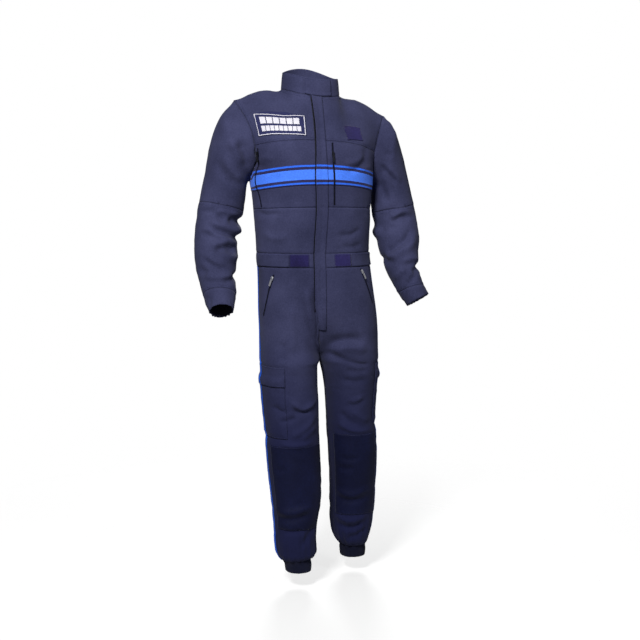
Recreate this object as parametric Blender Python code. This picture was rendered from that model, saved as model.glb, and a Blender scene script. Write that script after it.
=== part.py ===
"""A municipal police officer's coverall, filled out as it is worn, with nobody in it.

Units are metres and +Z is up. The wearer faces -Y, the wearer's left is +X, and the origin is
at the base of the neck. Every piece of cloth is a closed wall that follows one shared skin: the
skin is worked out from the sections below, and each sewn piece is a patch of it.
"""
import math
from collections import namedtuple

import bmesh
import bpy
from mathutils import Matrix, Vector

# ---------------------------------------------------------------- driving sizes
MM = 0.001
WALL = 1.6 * MM          # the sewn cloth
TRIM = 1.2 * MM          # tapes, patches and other things sewn on top
SEAM = 0.3 * MM          # gap between two pieces that are sewn together
LIFT = 0.5 * MM          # clearance under a piece that follows the panel's own grid
FREE_LIFT = 1.4 * MM     # clearance under a piece that cuts across the panel's grid

ZIP_WALL = 0.8 * MM
ZIP_LIFT = 0.6 * MM      # the front zip, on the panels' edges
ZIP_REACH = 0.55         # its half width, as a share of the storm flap's
ZIP_WIDTH = 10 * MM      # the pocket zips
FLAP_WALL = 1.6 * MM     # the storm flap and the collar tab, two plies
FLAP_LIFT = 2.3 * MM     # the storm flap stands off over the zip
RIB_WALL = 2.8 * MM      # knitted rib
TAPE_INSET = 1 * MM      # the chest tapes stop short of the armhole and side seams
BRAID_WIDTH = 20 * MM
BRAID_WALL = 1.0 * MM
OVER_TAPE = LIFT + TRIM + 0.9 * MM      # a zip that runs over the chest tape
POCKET_BULGE = 3.5 * MM
POCKET_FLAP_OVERHANG = 2 * MM
POCKET_SHARE_AT_FLAP = 0.75             # where the flap's free edge falls on the pocket
BADGE_ROWS = 5
STRAP_HEIGHTS = (0.08, 0.93)            # shares of the waistband's height
COLLAR_TAB = {"columns": (2.5, 5.85, 7), "rows": (0.06, 1.94, 4)}
SLIDER = {"length": 11 * MM, "width": 7 * MM, "body": 2.2 * MM, "hook": 6.6 * MM, "bar": 1.0 * MM,
          "slot": 1.8 * MM, "hook_width": 2.4 * MM}
PULL = {"width": 5.4 * MM, "window": 3.0 * MM, "bar": 1.0 * MM, "window_end": 4.2 * MM,
        "length": 24 * MM}

RIGHT, LEFT = -1, 1      # the wearer's sides, along X
FRONT, BACK = -1, 1      # along Y
SIDE_NAMES = {RIGHT: "right", LEFT: "left"}

NAVY = (0.030, 0.033, 0.085)
DARK_NAVY = (0.012, 0.014, 0.050)
RIB_NAVY = (0.014, 0.015, 0.045)
BLUE = (0.040, 0.190, 0.900)
LOOP_NAVY = (0.022, 0.018, 0.080)
WHITE = (0.75, 0.75, 0.80)
STEEL = (0.30, 0.30, 0.33)

# Columns of the knee patches and the cargo pockets; a pocket's are its front and back edges.
KNEE_COLUMNS = {RIGHT: (2, 8), LEFT: (2, 7)}
POCKET_COLUMNS = {RIGHT: (6, 5), LEFT: (7, 4)}

# The trunk, from the fork up to the armpits. half_width, front and back are measured from the
# section's centre. square is the superellipse's power. turn swings the section about Z, with
# the wearer's left hip forward. rise lifts the centre line above the side seams. fork and thigh
# are how far the centre line, and the rest of the section, have turned into the two thighs.
Trunk = namedtuple(
    "Trunk", "row z centre_x centre_y half_width front back square turn rise fork thigh")
TRUNK = [
    Trunk("fork_low", -0.768, 0.022, 0.000, 0.177, 0.106, 0.108, 2.3, 10, 0.000, 0.62, 0.85),
    Trunk("fork_mid", -0.738, 0.022, 0.000, 0.177, 0.109, 0.113, 2.3, 10, 0.000, 0.32, 0.68),
    Trunk("fly_low", -0.692, 0.021, 0.000, 0.176, 0.112, 0.116, 2.3, 10, 0.000, 0.10, 0.45),
    Trunk("seat", -0.640, 0.018, 0.000, 0.175, 0.112, 0.114, 2.3, 9, 0.000, 0.01, 0.18),
    Trunk("hip", -0.575, 0.014, 0.000, 0.171, 0.111, 0.105, 2.3, 7, 0.000, 0.0, 0.03),
    Trunk("band_low", -0.510, 0.009, 0.000, 0.168, 0.110, 0.093, 2.3, 5, 0.000, 0.0, 0.0),
    Trunk("band_top", -0.468, 0.006, 0.000, 0.167, 0.109, 0.090, 2.3, 4, 0.000, 0.0, 0.0),
    Trunk("waist", -0.405, 0.005, 0.000, 0.171, 0.113, 0.094, 2.3, 2, 0.001, 0.0, 0.0),
    Trunk("pocket_seam", -0.341, 0.004, 0.000, 0.175, 0.116, 0.099, 2.3, 0, 0.005, 0.0, 0.0),
    Trunk("tape_low", -0.290, 0.002, 0.000, 0.180, 0.119, 0.102, 2.3, 0, 0.017, 0.0, 0.0),
    Trunk("armpit", -0.262, 0.001, 0.000, 0.183, 0.120, 0.104, 2.3, 0, 0.020, 0.0, 0.0),
]

# The legs, from the rib knit up to the crotch. inner and outer are the X of the inseam's side
# and of the far side. mid_y is the leg's middle. seam is how many degrees the side seam has
# swung forward of the far side.
Leg = namedtuple("Leg", "row z inner outer mid_y front back seam")
LEGS = {
    RIGHT: [
        Leg("hem", -1.386, -0.022, -0.106, -0.052, 0.043, 0.045, 0),
        Leg("balloon", -1.372, -0.001, -0.116, -0.050, 0.058, 0.058, 0),
        Leg("shin_low", -1.340, 0.000, -0.122, -0.047, 0.064, 0.066, 0),
        Leg("knee_low", -1.285, 0.003, -0.125, -0.044, 0.070, 0.072, 0),
        Leg("knee_1", -1.200, 0.016, -0.132, -0.040, 0.076, 0.077, 0),
        Leg("knee_2", -1.115, 0.018, -0.140, -0.032, 0.083, 0.082, 0),
        Leg("knee_top", -1.033, 0.016, -0.145, -0.027, 0.084, 0.084, 0),
        Leg("pocket_low", -1.010, 0.015, -0.142, -0.024, 0.085, 0.085, 0),
        Leg("pocket_1", -0.960, 0.015, -0.145, -0.020, 0.087, 0.087, 0),
        Leg("pocket_2", -0.907, 0.015, -0.149, -0.015, 0.090, 0.090, 0),
        Leg("flap_low", -0.855, 0.014, -0.151, -0.008, 0.093, 0.095, 0),
        Leg("flap_mid", -0.828, 0.014, -0.151, -0.005, 0.096, 0.099, -1),
        Leg("flap_top", -0.802, 0.015, -0.152, -0.003, 0.0985, 0.1015, -2),
        Leg("crotch", -0.790, 0.022, -0.155, -0.002, 0.100, 0.103, -4),
    ],
    LEFT: [
        Leg("hem", -1.386, 0.106, 0.184, 0.046, 0.042, 0.044, 14),
        Leg("balloon", -1.372, 0.094, 0.189, 0.044, 0.056, 0.056, 14),
        Leg("shin_low", -1.340, 0.078, 0.199, 0.040, 0.062, 0.064, 15),
        Leg("knee_low", -1.275, 0.071, 0.206, 0.035, 0.069, 0.070, 16),
        Leg("knee_1", -1.188, 0.069, 0.209, 0.029, 0.075, 0.075, 17),
        Leg("knee_2", -1.100, 0.062, 0.208, 0.017, 0.082, 0.081, 17),
        Leg("knee_top", -1.015, 0.056, 0.203, 0.013, 0.084, 0.083, 17),
        Leg("pocket_low", -0.988, 0.054, 0.196, 0.011, 0.085, 0.085, 17),
        Leg("pocket_1", -0.942, 0.051, 0.194, 0.008, 0.087, 0.087, 17),
        Leg("pocket_2", -0.894, 0.047, 0.196, 0.006, 0.090, 0.090, 17),
        Leg("flap_low", -0.845, 0.040, 0.199, 0.002, 0.093, 0.095, 17),
        Leg("flap_mid", -0.822, 0.034, 0.200, 0.000, 0.096, 0.099, 16),
        Leg("flap_top", -0.802, 0.028, 0.200, -0.001, 0.0985, 0.1015, 15),
        Leg("crotch", -0.790, 0.022, 0.203, -0.002, 0.100, 0.103, 14),
    ],
}
LEG_SQUARE = 2.15
FORK_WIDTH = 0.35        # share of a section over which fork gives way to thigh

# The knitted cuffs at the ankles, below the hems.
RIBS = {
    RIGHT: [Leg("rib_top", -1.398, -0.018, -0.095, -0.052, 0.040, 0.041, 0),
            Leg("rib_low", -1.424, -0.016, -0.092, -0.053, 0.039, 0.040, 0)],
    LEFT: [Leg("rib_top", -1.398, 0.107, 0.183, 0.046, 0.040, 0.041, 14),
           Leg("rib_low", -1.424, 0.107, 0.184, 0.045, 0.039, 0.040, 14)],
}

# Rows above the armpits: share is how far up from the armpits to the neckline and shoulder.
UPPER = [("tape_top", 0.137), ("chest", 0.285), ("yoke_seam", 0.43), ("yoke_1", 0.58),
         ("yoke_2", 0.73), ("yoke_3", 0.87), ("shoulder", 1.0)]

# Columns run from the centre line, or the inseam, to the side seam. Beyond the neck the front's
# and the back's are the same, because they meet at the shoulder seam.
COLUMNS = {
    (RIGHT, FRONT): [0, 0.045, 0.16, 0.28, 0.40, 0.52, 0.63, 0.75, 0.875, 1],
    (LEFT, FRONT): [0, 0.045, 0.16, 0.28, 0.40, 0.55, 0.70, 0.85, 1],
    (RIGHT, BACK): [0, 0.14, 0.27, 0.40, 0.52, 0.63, 0.75, 0.875, 1],
    (LEFT, BACK): [0, 0.14, 0.27, 0.40, 0.55, 0.70, 0.85, 1],
}

NECK = {"half_width": 0.088, "front": 0.074, "back": 0.074, "centre_y": 0.008,
        "front_z": -0.020, "side_z": -0.004, "back_z": 0.020}
NECK_SHARE = 0.40        # how much of a yoke's top edge is neckline, the rest is shoulder
SHOULDER = Vector((0.225, 0.014, -0.046))
SHOULDER_ARCH = 0.016    # how far the shoulder seam bows up
LEAN = 0.08              # the wearer's left shoulder hangs lower, per metre of X
# How far each armhole bows towards the neck, and forward or back of the shoulder.
ARMHOLE_IN = {FRONT: 0.022, BACK: 0.016}
ARMHOLE_OUT = {FRONT: 0.060, BACK: 0.058}
YOKE_FILL = 0.010        # how far the middle of each upper quarter is filled out
NECK_FADE = 2.2          # the power by which the neckline's bends fade below it
# How far the centre front and the centre back bow out, above the armpits.
CENTRE_BOW = {FRONT: 0.014, BACK: 0.024}

COLLAR_HEIGHT = {"front": 0.050, "side": 0.049, "back": 0.052}
COLLAR_IN = 0.006        # how far the collar's top edge leans in
COLLAR_WALL = 1.8 * MM

# The sleeves, from the shoulder down: outer and inner edge, middle, half depth.
Sleeve = namedtuple("Sleeve", "row outer_x outer_z inner_x inner_z mid_y depth")
SLEEVES = {
    RIGHT: [
        Sleeve("cap_1", 0.254, -0.062, 0.188, -0.266, 0.014, 0.074),
        Sleeve("cap_2", 0.280, -0.108, 0.189, -0.273, 0.018, 0.076),
        Sleeve("cap_3", 0.297, -0.165, 0.192, -0.286, 0.019, 0.073),
        Sleeve("arm_1", 0.309, -0.232, 0.195, -0.310, 0.018, 0.068),
        Sleeve("elbow_seam", 0.331, -0.322, 0.203, -0.352, 0.014, 0.064),
        Sleeve("fore_1", 0.340, -0.372, 0.213, -0.386, 0.006, 0.063),
        Sleeve("fore_2", 0.349, -0.425, 0.224, -0.431, -0.010, 0.062),
        Sleeve("fore_3", 0.352, -0.470, 0.230, -0.474, -0.030, 0.060),
        Sleeve("fore_4", 0.350, -0.512, 0.238, -0.516, -0.055, 0.056),
        Sleeve("fore_5", 0.344, -0.547, 0.243, -0.554, -0.075, 0.051),
        Sleeve("cuff_seam", 0.339, -0.579, 0.246, -0.587, -0.096, 0.046),
        Sleeve("cuff_end", 0.326, -0.621, 0.260, -0.626, -0.126, 0.037),
    ],
    LEFT: [
        Sleeve("cap_1", 0.238, -0.070, 0.190, -0.266, 0.014, 0.074),
        Sleeve("cap_2", 0.258, -0.106, 0.193, -0.274, 0.018, 0.076),
        Sleeve("cap_3", 0.282, -0.165, 0.192, -0.286, 0.019, 0.073),
        Sleeve("arm_1", 0.302, -0.240, 0.194, -0.310, 0.018, 0.068),
        Sleeve("elbow_seam", 0.324, -0.335, 0.197, -0.356, 0.014, 0.064),
        Sleeve("fore_1", 0.331, -0.382, 0.204, -0.392, 0.006, 0.063),
        Sleeve("fore_2", 0.333, -0.430, 0.206, -0.436, -0.010, 0.062),
        Sleeve("fore_3", 0.324, -0.473, 0.212, -0.476, -0.030, 0.060),
        Sleeve("fore_4", 0.319, -0.512, 0.222, -0.519, -0.050, 0.055),
        Sleeve("fore_5", 0.318, -0.545, 0.236, -0.556, -0.067, 0.049),
        Sleeve("cuff_seam", 0.326, -0.572, 0.251, -0.589, -0.080, 0.043),
        Sleeve("cuff_end", 0.336, -0.597, 0.274, -0.627, -0.092, 0.035),
    ],
}

Spot = namedtuple("Spot", "point normal")     # a point of the skin and its outward normal


# ---------------------------------------------------------------- small helpers
def mix(a, b, share):
    """The value or the vector at this share of the way from a to b."""
    return a + (b - a) * share


def bump(share):
    """0 at both ends and 1 in the middle."""
    return math.sin(math.pi * share)


def power(value, exponent):
    """A signed power, for superellipses."""
    return math.copysign(abs(value) ** exponent, value)


# ---------------------------------------------------------------- the skin
def trunk_point(section, side, face, share):
    """A point of the trunk's quarter, from the centre line (0) to the side seam (1)."""
    angle = share * math.pi / 2
    exponent = 2 / section.square
    depth = section.front if face == FRONT else section.back
    x = side * section.half_width * power(math.sin(angle), exponent)
    y = face * depth * power(math.cos(angle), exponent)
    swing = math.radians(-section.turn)
    return Vector((
        section.centre_x + x * math.cos(swing) - y * math.sin(swing),
        section.centre_y + x * math.sin(swing) + y * math.cos(swing),
        section.z + section.rise * math.cos(angle) ** 2))


def leg_point(section, side, face, share):
    """A point of one leg's half, from the inseam (0) to the side seam (1)."""
    angle = share * math.radians(180 + face * section.seam)
    exponent = 2 / LEG_SQUARE
    depth = section.front if face * math.sin(angle) < 0 else section.back
    middle = (section.inner + section.outer) / 2
    half = abs(section.outer - section.inner) / 2
    return Vector((
        middle - side * half * power(math.cos(angle), exponent),
        section.mid_y + face * depth * power(math.sin(angle), exponent),
        section.z))


def neck_point(side, face, share):
    """A point of the neckline's quarter, from the centre (0) to the side of the neck (1)."""
    angle = share * math.pi / 2
    end = "front" if face == FRONT else "back"
    x = side * NECK["half_width"] * math.sin(angle)
    z = mix(NECK["side_z"], NECK[end + "_z"], math.cos(angle) ** 2)
    return Vector((x, NECK["centre_y"] + face * NECK[end] * math.cos(angle), z - LEAN * x))


def shoulder_point(side, share):
    """A point of the shoulder seam, from the neck (0) to the sleeve (1)."""
    tip = Vector((side * SHOULDER.x, SHOULDER.y, SHOULDER.z - LEAN * side * SHOULDER.x))
    return mix(neck_point(side, FRONT, 1), tip, share) + Vector((0, 0, SHOULDER_ARCH * bump(share)))


def armhole_point(side, face, share):
    """A point of the armhole's edge, from the armpit (0) to the shoulder (1)."""
    start = trunk_point(TRUNK[-1], side, face, 1)
    point = mix(start, shoulder_point(side, 1), share)
    point.x -= side * ARMHOLE_IN[face] * bump(share)
    point.y += face * ARMHOLE_OUT[face] * bump(share) ** 0.8
    return point


def centre_point(face, share):
    """A point of the centre line, from the armpits' level (0) to the neck (1)."""
    point = mix(trunk_point(TRUNK[-1], RIGHT, face, 0), neck_point(RIGHT, face, 0), share)
    point.y += face * CENTRE_BOW[face] * bump(share)
    return point


def top_point(side, face, share):
    """A point of a yoke's top edge: the neckline, and then the shoulder seam."""
    if share < NECK_SHARE:
        return neck_point(side, face, share / NECK_SHARE)
    return shoulder_point(side, (share - NECK_SHARE) / (1 - NECK_SHARE))


def yoke_point(side, face, across, up):
    """A Coons patch between the armpits' level, the centre line, the armhole and the top.

    The neckline's bends fade out quickly below it, so that they don't dent the chest.
    """
    low, high = trunk_point(TRUNK[-1], side, face, across), top_point(side, face, across)
    centre, edge = centre_point(face, up), armhole_point(side, face, up)
    low_bend = low - mix(centre_point(face, 0), armhole_point(side, face, 0), across)
    high_bend = high - mix(centre_point(face, 1), armhole_point(side, face, 1), across)
    fill = Vector((0, face * YOKE_FILL * bump(across) ** 1.5 * bump(up), 0))
    return mix(centre, edge, across) + low_bend * (1 - up) + high_bend * up ** NECK_FADE + fill


def skin_rows(side, face):
    """All rows of one quarter of the garment, from the hem to the neck, as (name, points)."""
    columns = COLUMNS[side, face]
    rows = [(leg.row, [leg_point(leg, side, face, s) for s in columns]) for leg in LEGS[side]]
    thigh = LEGS[side][-1]
    for section in TRUNK:
        points = []
        for s in columns:
            leg = leg_point(thigh._replace(z=section.z), side, face, s)
            turned = mix(section.fork, section.thigh, math.sin(min(s / FORK_WIDTH, 1) * math.pi / 2))
            points.append(mix(trunk_point(section, side, face, s), leg, turned))
        rows.append((section.row, points))
    for name, up in UPPER:
        rows.append((name, [yoke_point(side, face, s, up) for s in columns]))
    return rows


def sleeve_rows(side):
    """The rings of one sleeve: up the front of the armhole, over, and down the back."""
    shares = [0] + [up for _, up in UPPER]
    loop = [(FRONT, s) for s in shares] + [(BACK, s) for s in reversed(shares[1:-1])]
    rows = [("armhole", [armhole_point(side, face, s) for face, s in loop])]
    table = SLEEVES[side]
    middles = [Vector((side * (r.outer_x + r.inner_x) / 2, r.mid_y, (r.outer_z + r.inner_z) / 2))
               for r in table]
    for index, ring in enumerate(table):
        before, after = middles[max(index - 1, 0)], middles[min(index + 1, len(table) - 1)]
        half = Vector((side * (ring.outer_x - ring.inner_x) / 2, 0,
                       (ring.outer_z - ring.inner_z) / 2))
        deep = half.cross(after - before).normalized() * ring.depth * side
        if deep.y > 0:
            deep.negate()
        points = []
        for face, s in loop:
            angle = math.pi * s
            points.append(middles[index] - half * math.cos(angle) - face * deep * math.sin(angle))
        rows.append((ring.row, points))
    return rows


def collar_rows():
    """The stand collar's rings, from the wearer's centre front round by the right and back."""
    quarters = [(RIGHT, FRONT, False), (RIGHT, BACK, True), (LEFT, BACK, False), (LEFT, FRONT, True)]
    loop = []
    for side, face, reverse in quarters:
        shares = [s / NECK_SHARE for s in COLUMNS[side, face] if s <= NECK_SHARE]
        if reverse:
            shares.reverse()
        loop += [(side, face, s) for s in shares][:-1]
    loop.append(loop[0])
    rows = []
    for name, up in (("collar_low", 0), ("collar_mid", 0.5), ("collar_top", 1)):
        points = []
        for side, face, s in loop:
            end = "front" if face == FRONT else "back"
            base = neck_point(side, face, s)
            height = mix(COLLAR_HEIGHT[end], COLLAR_HEIGHT["side"], s)
            inward = Vector((-base.x, NECK["centre_y"] - base.y, 0)).normalized() * COLLAR_IN
            points.append(base + (Vector((0, 0, height)) + inward) * up)
        rows.append((name, points))
    return rows


def rib_rows(side):
    """The rings of one ankle cuff, which starts at the trouser leg's hem."""
    loop = [(FRONT, s) for s in COLUMNS[side, FRONT]]
    loop += [(BACK, s) for s in COLUMNS[side, BACK][-2:0:-1]]
    return [(section.row, [leg_point(section, side, face, s) for face, s in loop])
            for section in [LEGS[side][0]] + RIBS[side]]


def cell_normals(rows, closed):
    """The area normal of each cell of a grid of points, keyed by its lower left corner."""
    count = len(rows[0])
    normals = {}
    for r in range(len(rows) - 1):
        for c in range(count if closed else count - 1):
            d = (c + 1) % count
            across = rows[r + 1][d] - rows[r][c]
            up = rows[r + 1][c] - rows[r][d]
            normals[r, c] = across.cross(up)
    return normals


def outward_sign(rows, normals):
    """+1 if the cells of a ring face away from its middle, -1 if they face it."""
    total = 0
    for (r, c), normal in normals.items():
        middle = sum(rows[r], Vector()) / len(rows[r])
        total += normal.dot(rows[r][c] - middle)
    return math.copysign(1, total)


def skin():
    """Every grid of the skin as rows of Spots, with normals shared across the seams."""
    quarters = [(side, face) for side in (RIGHT, LEFT) for face in (FRONT, BACK)]
    named = {key: skin_rows(*key) for key in quarters}
    named.update({("sleeve", side): sleeve_rows(side) for side in (RIGHT, LEFT)})
    named.update({("rib", side): rib_rows(side) for side in (RIGHT, LEFT)})
    named["collar"] = collar_rows()
    grids = {key: [points for _, points in rows] for key, rows in named.items()}
    sums, pieces = {}, []

    def spot_key(point):
        return tuple(round(value * 1e5) for value in point)

    for key, rows in grids.items():
        closed = key[0] in ("sleeve", "rib")
        normals = cell_normals(rows, closed)
        if key in quarters:
            sign = -key[0] * key[1]
        else:
            sign = outward_sign(rows, normals)
        for (r, c), normal in normals.items():
            d = (c + 1) % len(rows[r])
            for point in (rows[r][c], rows[r][d], rows[r + 1][c], rows[r + 1][d]):
                entry = sums.setdefault(spot_key(point), [])
                entry.append(normal * sign)
    for key, rows in named.items():
        spots = {}
        for name, points in rows:
            line = []
            for point in points:
                around = sums[spot_key(point)]
                normal = sum(around, Vector()).normalized()
                leaning = sum(normal.dot(n.normalized()) for n in around) / len(around)
                line.append(Spot(point, normal / max(leaning, 0.6)))
            spots[name] = line
        pieces.append((key, spots))
    return dict(pieces)


def rows_between(grid, low, high):
    """The rows of a named grid from low to high, both included."""
    names = list(grid)
    start, end = names.index(low), names.index(high)
    return [list(grid[name]) for name in names[start:end + 1]]


def along_x(rows, side):
    """The same rows with their columns in the order of +X, whichever side they are from."""
    return [row[::-1] for row in rows] if side == RIGHT else rows


def patch(skins, side, face, low, high, first=0, last=None):
    """A rectangle of one quarter's grid, in the order of +X."""
    rows = rows_between(skins[side, face], low, high)
    end = len(rows[0]) if last is None else last + 1
    return along_x([row[first:end] for row in rows], side)


def across_centre(skins, face, low, high, right_last=None, left_last=None):
    """A rectangle that spans the centre line, in the order of +X."""
    right = patch(skins, RIGHT, face, low, high, 0, right_last)
    left = patch(skins, LEFT, face, low, high, 0, left_last)
    return [a + b[1:] for a, b in zip(right, left)]


def blend_spots(a, b, share):
    """A Spot on the straight line between two Spots."""
    return Spot(mix(a.point, b.point, share), mix(a.normal, b.normal, share))


def surface(rows, u, v):
    """The Spot at column u and row v, on the two triangles of its cell."""
    c, r = min(int(u), len(rows[0]) - 2), min(int(v), len(rows) - 2)
    right, up = u - c, v - r
    low, high = blend_spots(rows[r][c], rows[r][c + 1], right), \
        blend_spots(rows[r + 1][c], rows[r + 1][c + 1], right)
    return blend_spots(low, high, up)


def lines_between(start, end, most=0.5):
    """Grid positions from start to end that stop at every whole one, no further apart than most."""
    stops = [start] + [k for k in range(math.floor(start) + 1, math.ceil(end))] + [end]
    result = [start]
    for a, b in zip(stops, stops[1:]):
        steps = max(1, math.ceil((b - a) / most - 1e-6))
        result += [a + (b - a) * k / steps for k in range(1, steps + 1)]
    return result


def pull_in(rows, closed=False, amount=SEAM / 2, square=True):
    """The same grid with its edges drawn in, square to the seam or along the grid."""
    result = [list(row) for row in rows]
    height, width = len(rows), len(rows[0])

    def draw_in(spot, before, after, inside):
        inwards = inside.point - spot.point
        if not square:
            return inwards.normalized() * amount
        across_seam = spot.normal.cross(after.point - before.point).normalized()
        return across_seam * math.copysign(amount, across_seam.dot(inwards))

    for r in range(height):
        for c in range(width):
            spot = rows[r][c]
            point = spot.point.copy()
            left = c - 1 if c > 0 or closed else c
            right = (c + 1) % width if closed else min(c + 1, width - 1)
            if height > 1 and r in (0, height - 1):
                point += draw_in(spot, rows[r][left], rows[r][right], rows[1 if r == 0 else r - 1][c])
            if not closed and c in (0, width - 1):
                low, high = rows[max(r - 1, 0)][c], rows[min(r + 1, height - 1)][c]
                point += draw_in(spot, low, high, rows[r][1 if c == 0 else c - 1])
            result[r][c] = Spot(point, spot.normal)
    return result


# ---------------------------------------------------------------- building pieces
def material(name, colour, roughness=0.85, metallic=0.0):
    """A plain Principled material."""
    surface_material = bpy.data.materials.new(name)
    surface_material.use_nodes = True
    shader = surface_material.node_tree.nodes["Principled BSDF"]
    shader.inputs["Base Color"].default_value = (*colour, 1)
    shader.inputs["Roughness"].default_value = roughness
    shader.inputs["Metallic"].default_value = metallic
    return surface_material


def add_object(name, mesh, colour, roughness=0.85, metallic=0.0):
    """Turn a finished bmesh into an object of the scene."""
    bmesh.ops.recalc_face_normals(mesh, faces=mesh.faces[:])
    data = bpy.data.meshes.new(name)
    mesh.to_mesh(data)
    mesh.free()
    data.materials.append(material(name, colour, roughness, metallic))
    thing = bpy.data.objects.new(name, data)
    bpy.context.scene.collection.objects.link(thing)
    return thing


def wall(name, rows, under, over, colour, closed=False):
    """A closed wall over a grid of Spots, from `under` to `over` measured along their normals.

    under and over are lengths, or functions of the shares across and up the grid.
    """
    height, width = len(rows), len(rows[0])
    segments = width if closed else width - 1
    mesh = bmesh.new()
    bmesh.ops.create_grid(mesh, x_segments=segments, y_segments=height - 1, size=0.5)
    for vertex in mesh.verts:
        column, row = vertex.co.x + 0.5, vertex.co.y + 0.5
        if closed:
            turn = 2 * math.pi * column
            vertex.co = Vector((math.cos(turn), math.sin(turn), row))
        else:
            vertex.co = Vector((column, row, 0))
    if closed:
        bmesh.ops.remove_doubles(mesh, verts=mesh.verts[:], dist=1e-5)
    geometry = mesh.verts[:] + mesh.edges[:] + mesh.faces[:]
    lower = bmesh.ops.extrude_face_region(mesh, geom=geometry, use_keep_orig=True)["geom"]
    lower = {item for item in lower if isinstance(item, bmesh.types.BMVert)}
    for vertex in mesh.verts:
        if closed:
            share = (math.atan2(vertex.co.y, vertex.co.x) / (2 * math.pi)) % 1
            column, row = round(share * width) % width, round(vertex.co.z * (height - 1))
        else:
            column = round(vertex.co.x * (width - 1))
            row = round(vertex.co.y * (height - 1))
        spot = rows[row][column]
        level = under if vertex in lower else over
        if callable(level):
            level = level(column / (width - 1), row / (height - 1))
        vertex.co = spot.point + spot.normal * level
    edges = [face for face in mesh.faces if 0 < len(lower.intersection(face.verts)) < 4]
    bmesh.ops.triangulate(mesh, faces=edges, quad_method="SHORT_EDGE")
    sheets = [face for face in mesh.faces if len(face.verts) == 4]
    bmesh.ops.triangulate(mesh, faces=sheets, quad_method="FIXED")
    return add_object(name, mesh, colour)


def panel(name, rows, colour=NAVY, closed=False, thickness=WALL):
    """A sewn panel: the skin is its outside, and its edges stop short of the seams."""
    return wall(name, pull_in(rows, closed), -thickness, 0, colour, closed)


def overlay(name, rows, colour, lift=LIFT, thickness=TRIM, inset=SEAM):
    """A piece that is sewn on top of a panel."""
    rows = pull_in(rows, amount=inset, square=False)
    return wall(name, rows, lift, lift + thickness, colour)


# ---------------------------------------------------------------- the sewn pieces
def make_body(skins):
    """Fronts, backs, yokes, waistband and trouser legs."""
    bands = [("yoke", "yoke_seam", "shoulder"), ("chest", "pocket_seam", "yoke_seam"),
             ("waist", "band_top", "pocket_seam"), ("waistband", "band_low", "band_top"),
             ("leg", "hem", "band_low")]
    for side, label in SIDE_NAMES.items():
        for band, low, high in bands:
            rows = patch(skins, side, FRONT, low, high)
            if band == "leg":
                rows = part_at_crotch(rows, side, FRONT)
            panel(f"{band}_front_{label}", rows)
        rows = part_at_crotch(patch(skins, side, BACK, "hem", "band_low"), side, BACK)
        panel(f"leg_back_{label}", rows)
    panel("yoke_back", across_centre(skins, BACK, "yoke_seam", "shoulder"))
    panel("body_back", across_centre(skins, BACK, "band_top", "yoke_seam"))
    panel("waistband_back", across_centre(skins, BACK, "band_low", "band_top"))


def part_at_crotch(rows, side, face):
    """Move the one corner where four pieces meet to the front or the back by half a gap."""
    crotch = [leg.row for leg in LEGS[side]].index("crotch")
    column = -1 if side == RIGHT else 0
    spot = rows[crotch][column]
    rows[crotch][column] = Spot(spot.point + Vector((0, face * SEAM / 2, 0)), spot.normal)
    return rows


def make_sleeves(skins):
    """Upper sleeves, lower sleeves and gathered cuffs."""
    for side, label in SIDE_NAMES.items():
        grid = skins["sleeve", side]
        for piece, low, high in (("sleeve_upper", "armhole", "elbow_seam"),
                                 ("sleeve_lower", "elbow_seam", "cuff_seam"),
                                 ("cuff", "cuff_seam", "cuff_end")):
            panel(f"{piece}_{label}", rows_between(grid, low, high), closed=True)


def make_collar(skins):
    panel("collar", rows_between(skins["collar"], "collar_low", "collar_top"),
          thickness=COLLAR_WALL)


def make_ribs(skins):
    for side, label in SIDE_NAMES.items():
        rows = rows_between(skins["rib", side], "hem", "rib_low")
        panel(f"ankle_rib_{label}", rows, RIB_NAVY, closed=True, thickness=RIB_WALL)


# ---------------------------------------------------------------- what is sewn on top
def make_front_closure(skins):
    """The front zip, the storm flap over it, and the collar's tab."""
    def strip(low, reach):
        right = patch(skins, RIGHT, FRONT, low, "shoulder", 0, 1)
        left = patch(skins, LEFT, FRONT, low, "shoulder", 0, 1)
        return [[blend_spots(r[1], r[0], reach), r[1], blend_spots(r[1], l[1], reach)]
                for r, l in zip(right, left)]

    overlay("front_zip", strip("seat", ZIP_REACH), DARK_NAVY, ZIP_LIFT, ZIP_WALL, 3 * SEAM)
    overlay("storm_flap", strip("fly_low", 1), NAVY, FLAP_LIFT, FLAP_WALL)
    right, left = [], []
    for row in rows_between(skins["collar"], "collar_low", "collar_top"):
        right.append(row[:5][::-1])
        left.append(row[-5:])
    front = [r + l[::-1][1:] for r, l in zip(right, left)]
    tab = sample(front, COLLAR_TAB["columns"], COLLAR_TAB["rows"])
    overlay("collar_tab", tab, NAVY, FREE_LIFT, FLAP_WALL, 0)


def make_tapes(skins):
    """The blue striped tape round the chest, in four lengths."""
    for side, label in SIDE_NAMES.items():
        rows = patch(skins, side, FRONT, "tape_low", "tape_top", 1)
        overlay(f"chest_tape_{label}", rows, BLUE, inset=TAPE_INSET)
    overlay("back_tape", across_centre(skins, BACK, "tape_low", "tape_top"), BLUE,
            inset=TAPE_INSET)
    rows = across_centre(skins, FRONT, "tape_low", "tape_top", 1, 1)
    overlay("flap_tape", rows, BLUE, FLAP_LIFT + FLAP_WALL + SEAM, TRIM, 2 * SEAM)


def sample(rows, columns, heights):
    """Spots at evenly chosen columns and rows of a grid, each list (first, last, steps)."""
    us = [mix(columns[0], columns[1], k / columns[2]) for k in range(columns[2] + 1)]
    vs = [mix(heights[0], heights[1], k / heights[2]) for k in range(heights[2] + 1)]
    return [[surface(rows, u, v) for u in us] for v in vs]


def column_at(side, face, share):
    """The grid column of a share across, from the centre line to the side seam."""
    shares = COLUMNS[side, face]
    k = max(i for i, s in enumerate(shares[:-1]) if s <= share)
    return k + (share - shares[k]) / (shares[k + 1] - shares[k])


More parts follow.
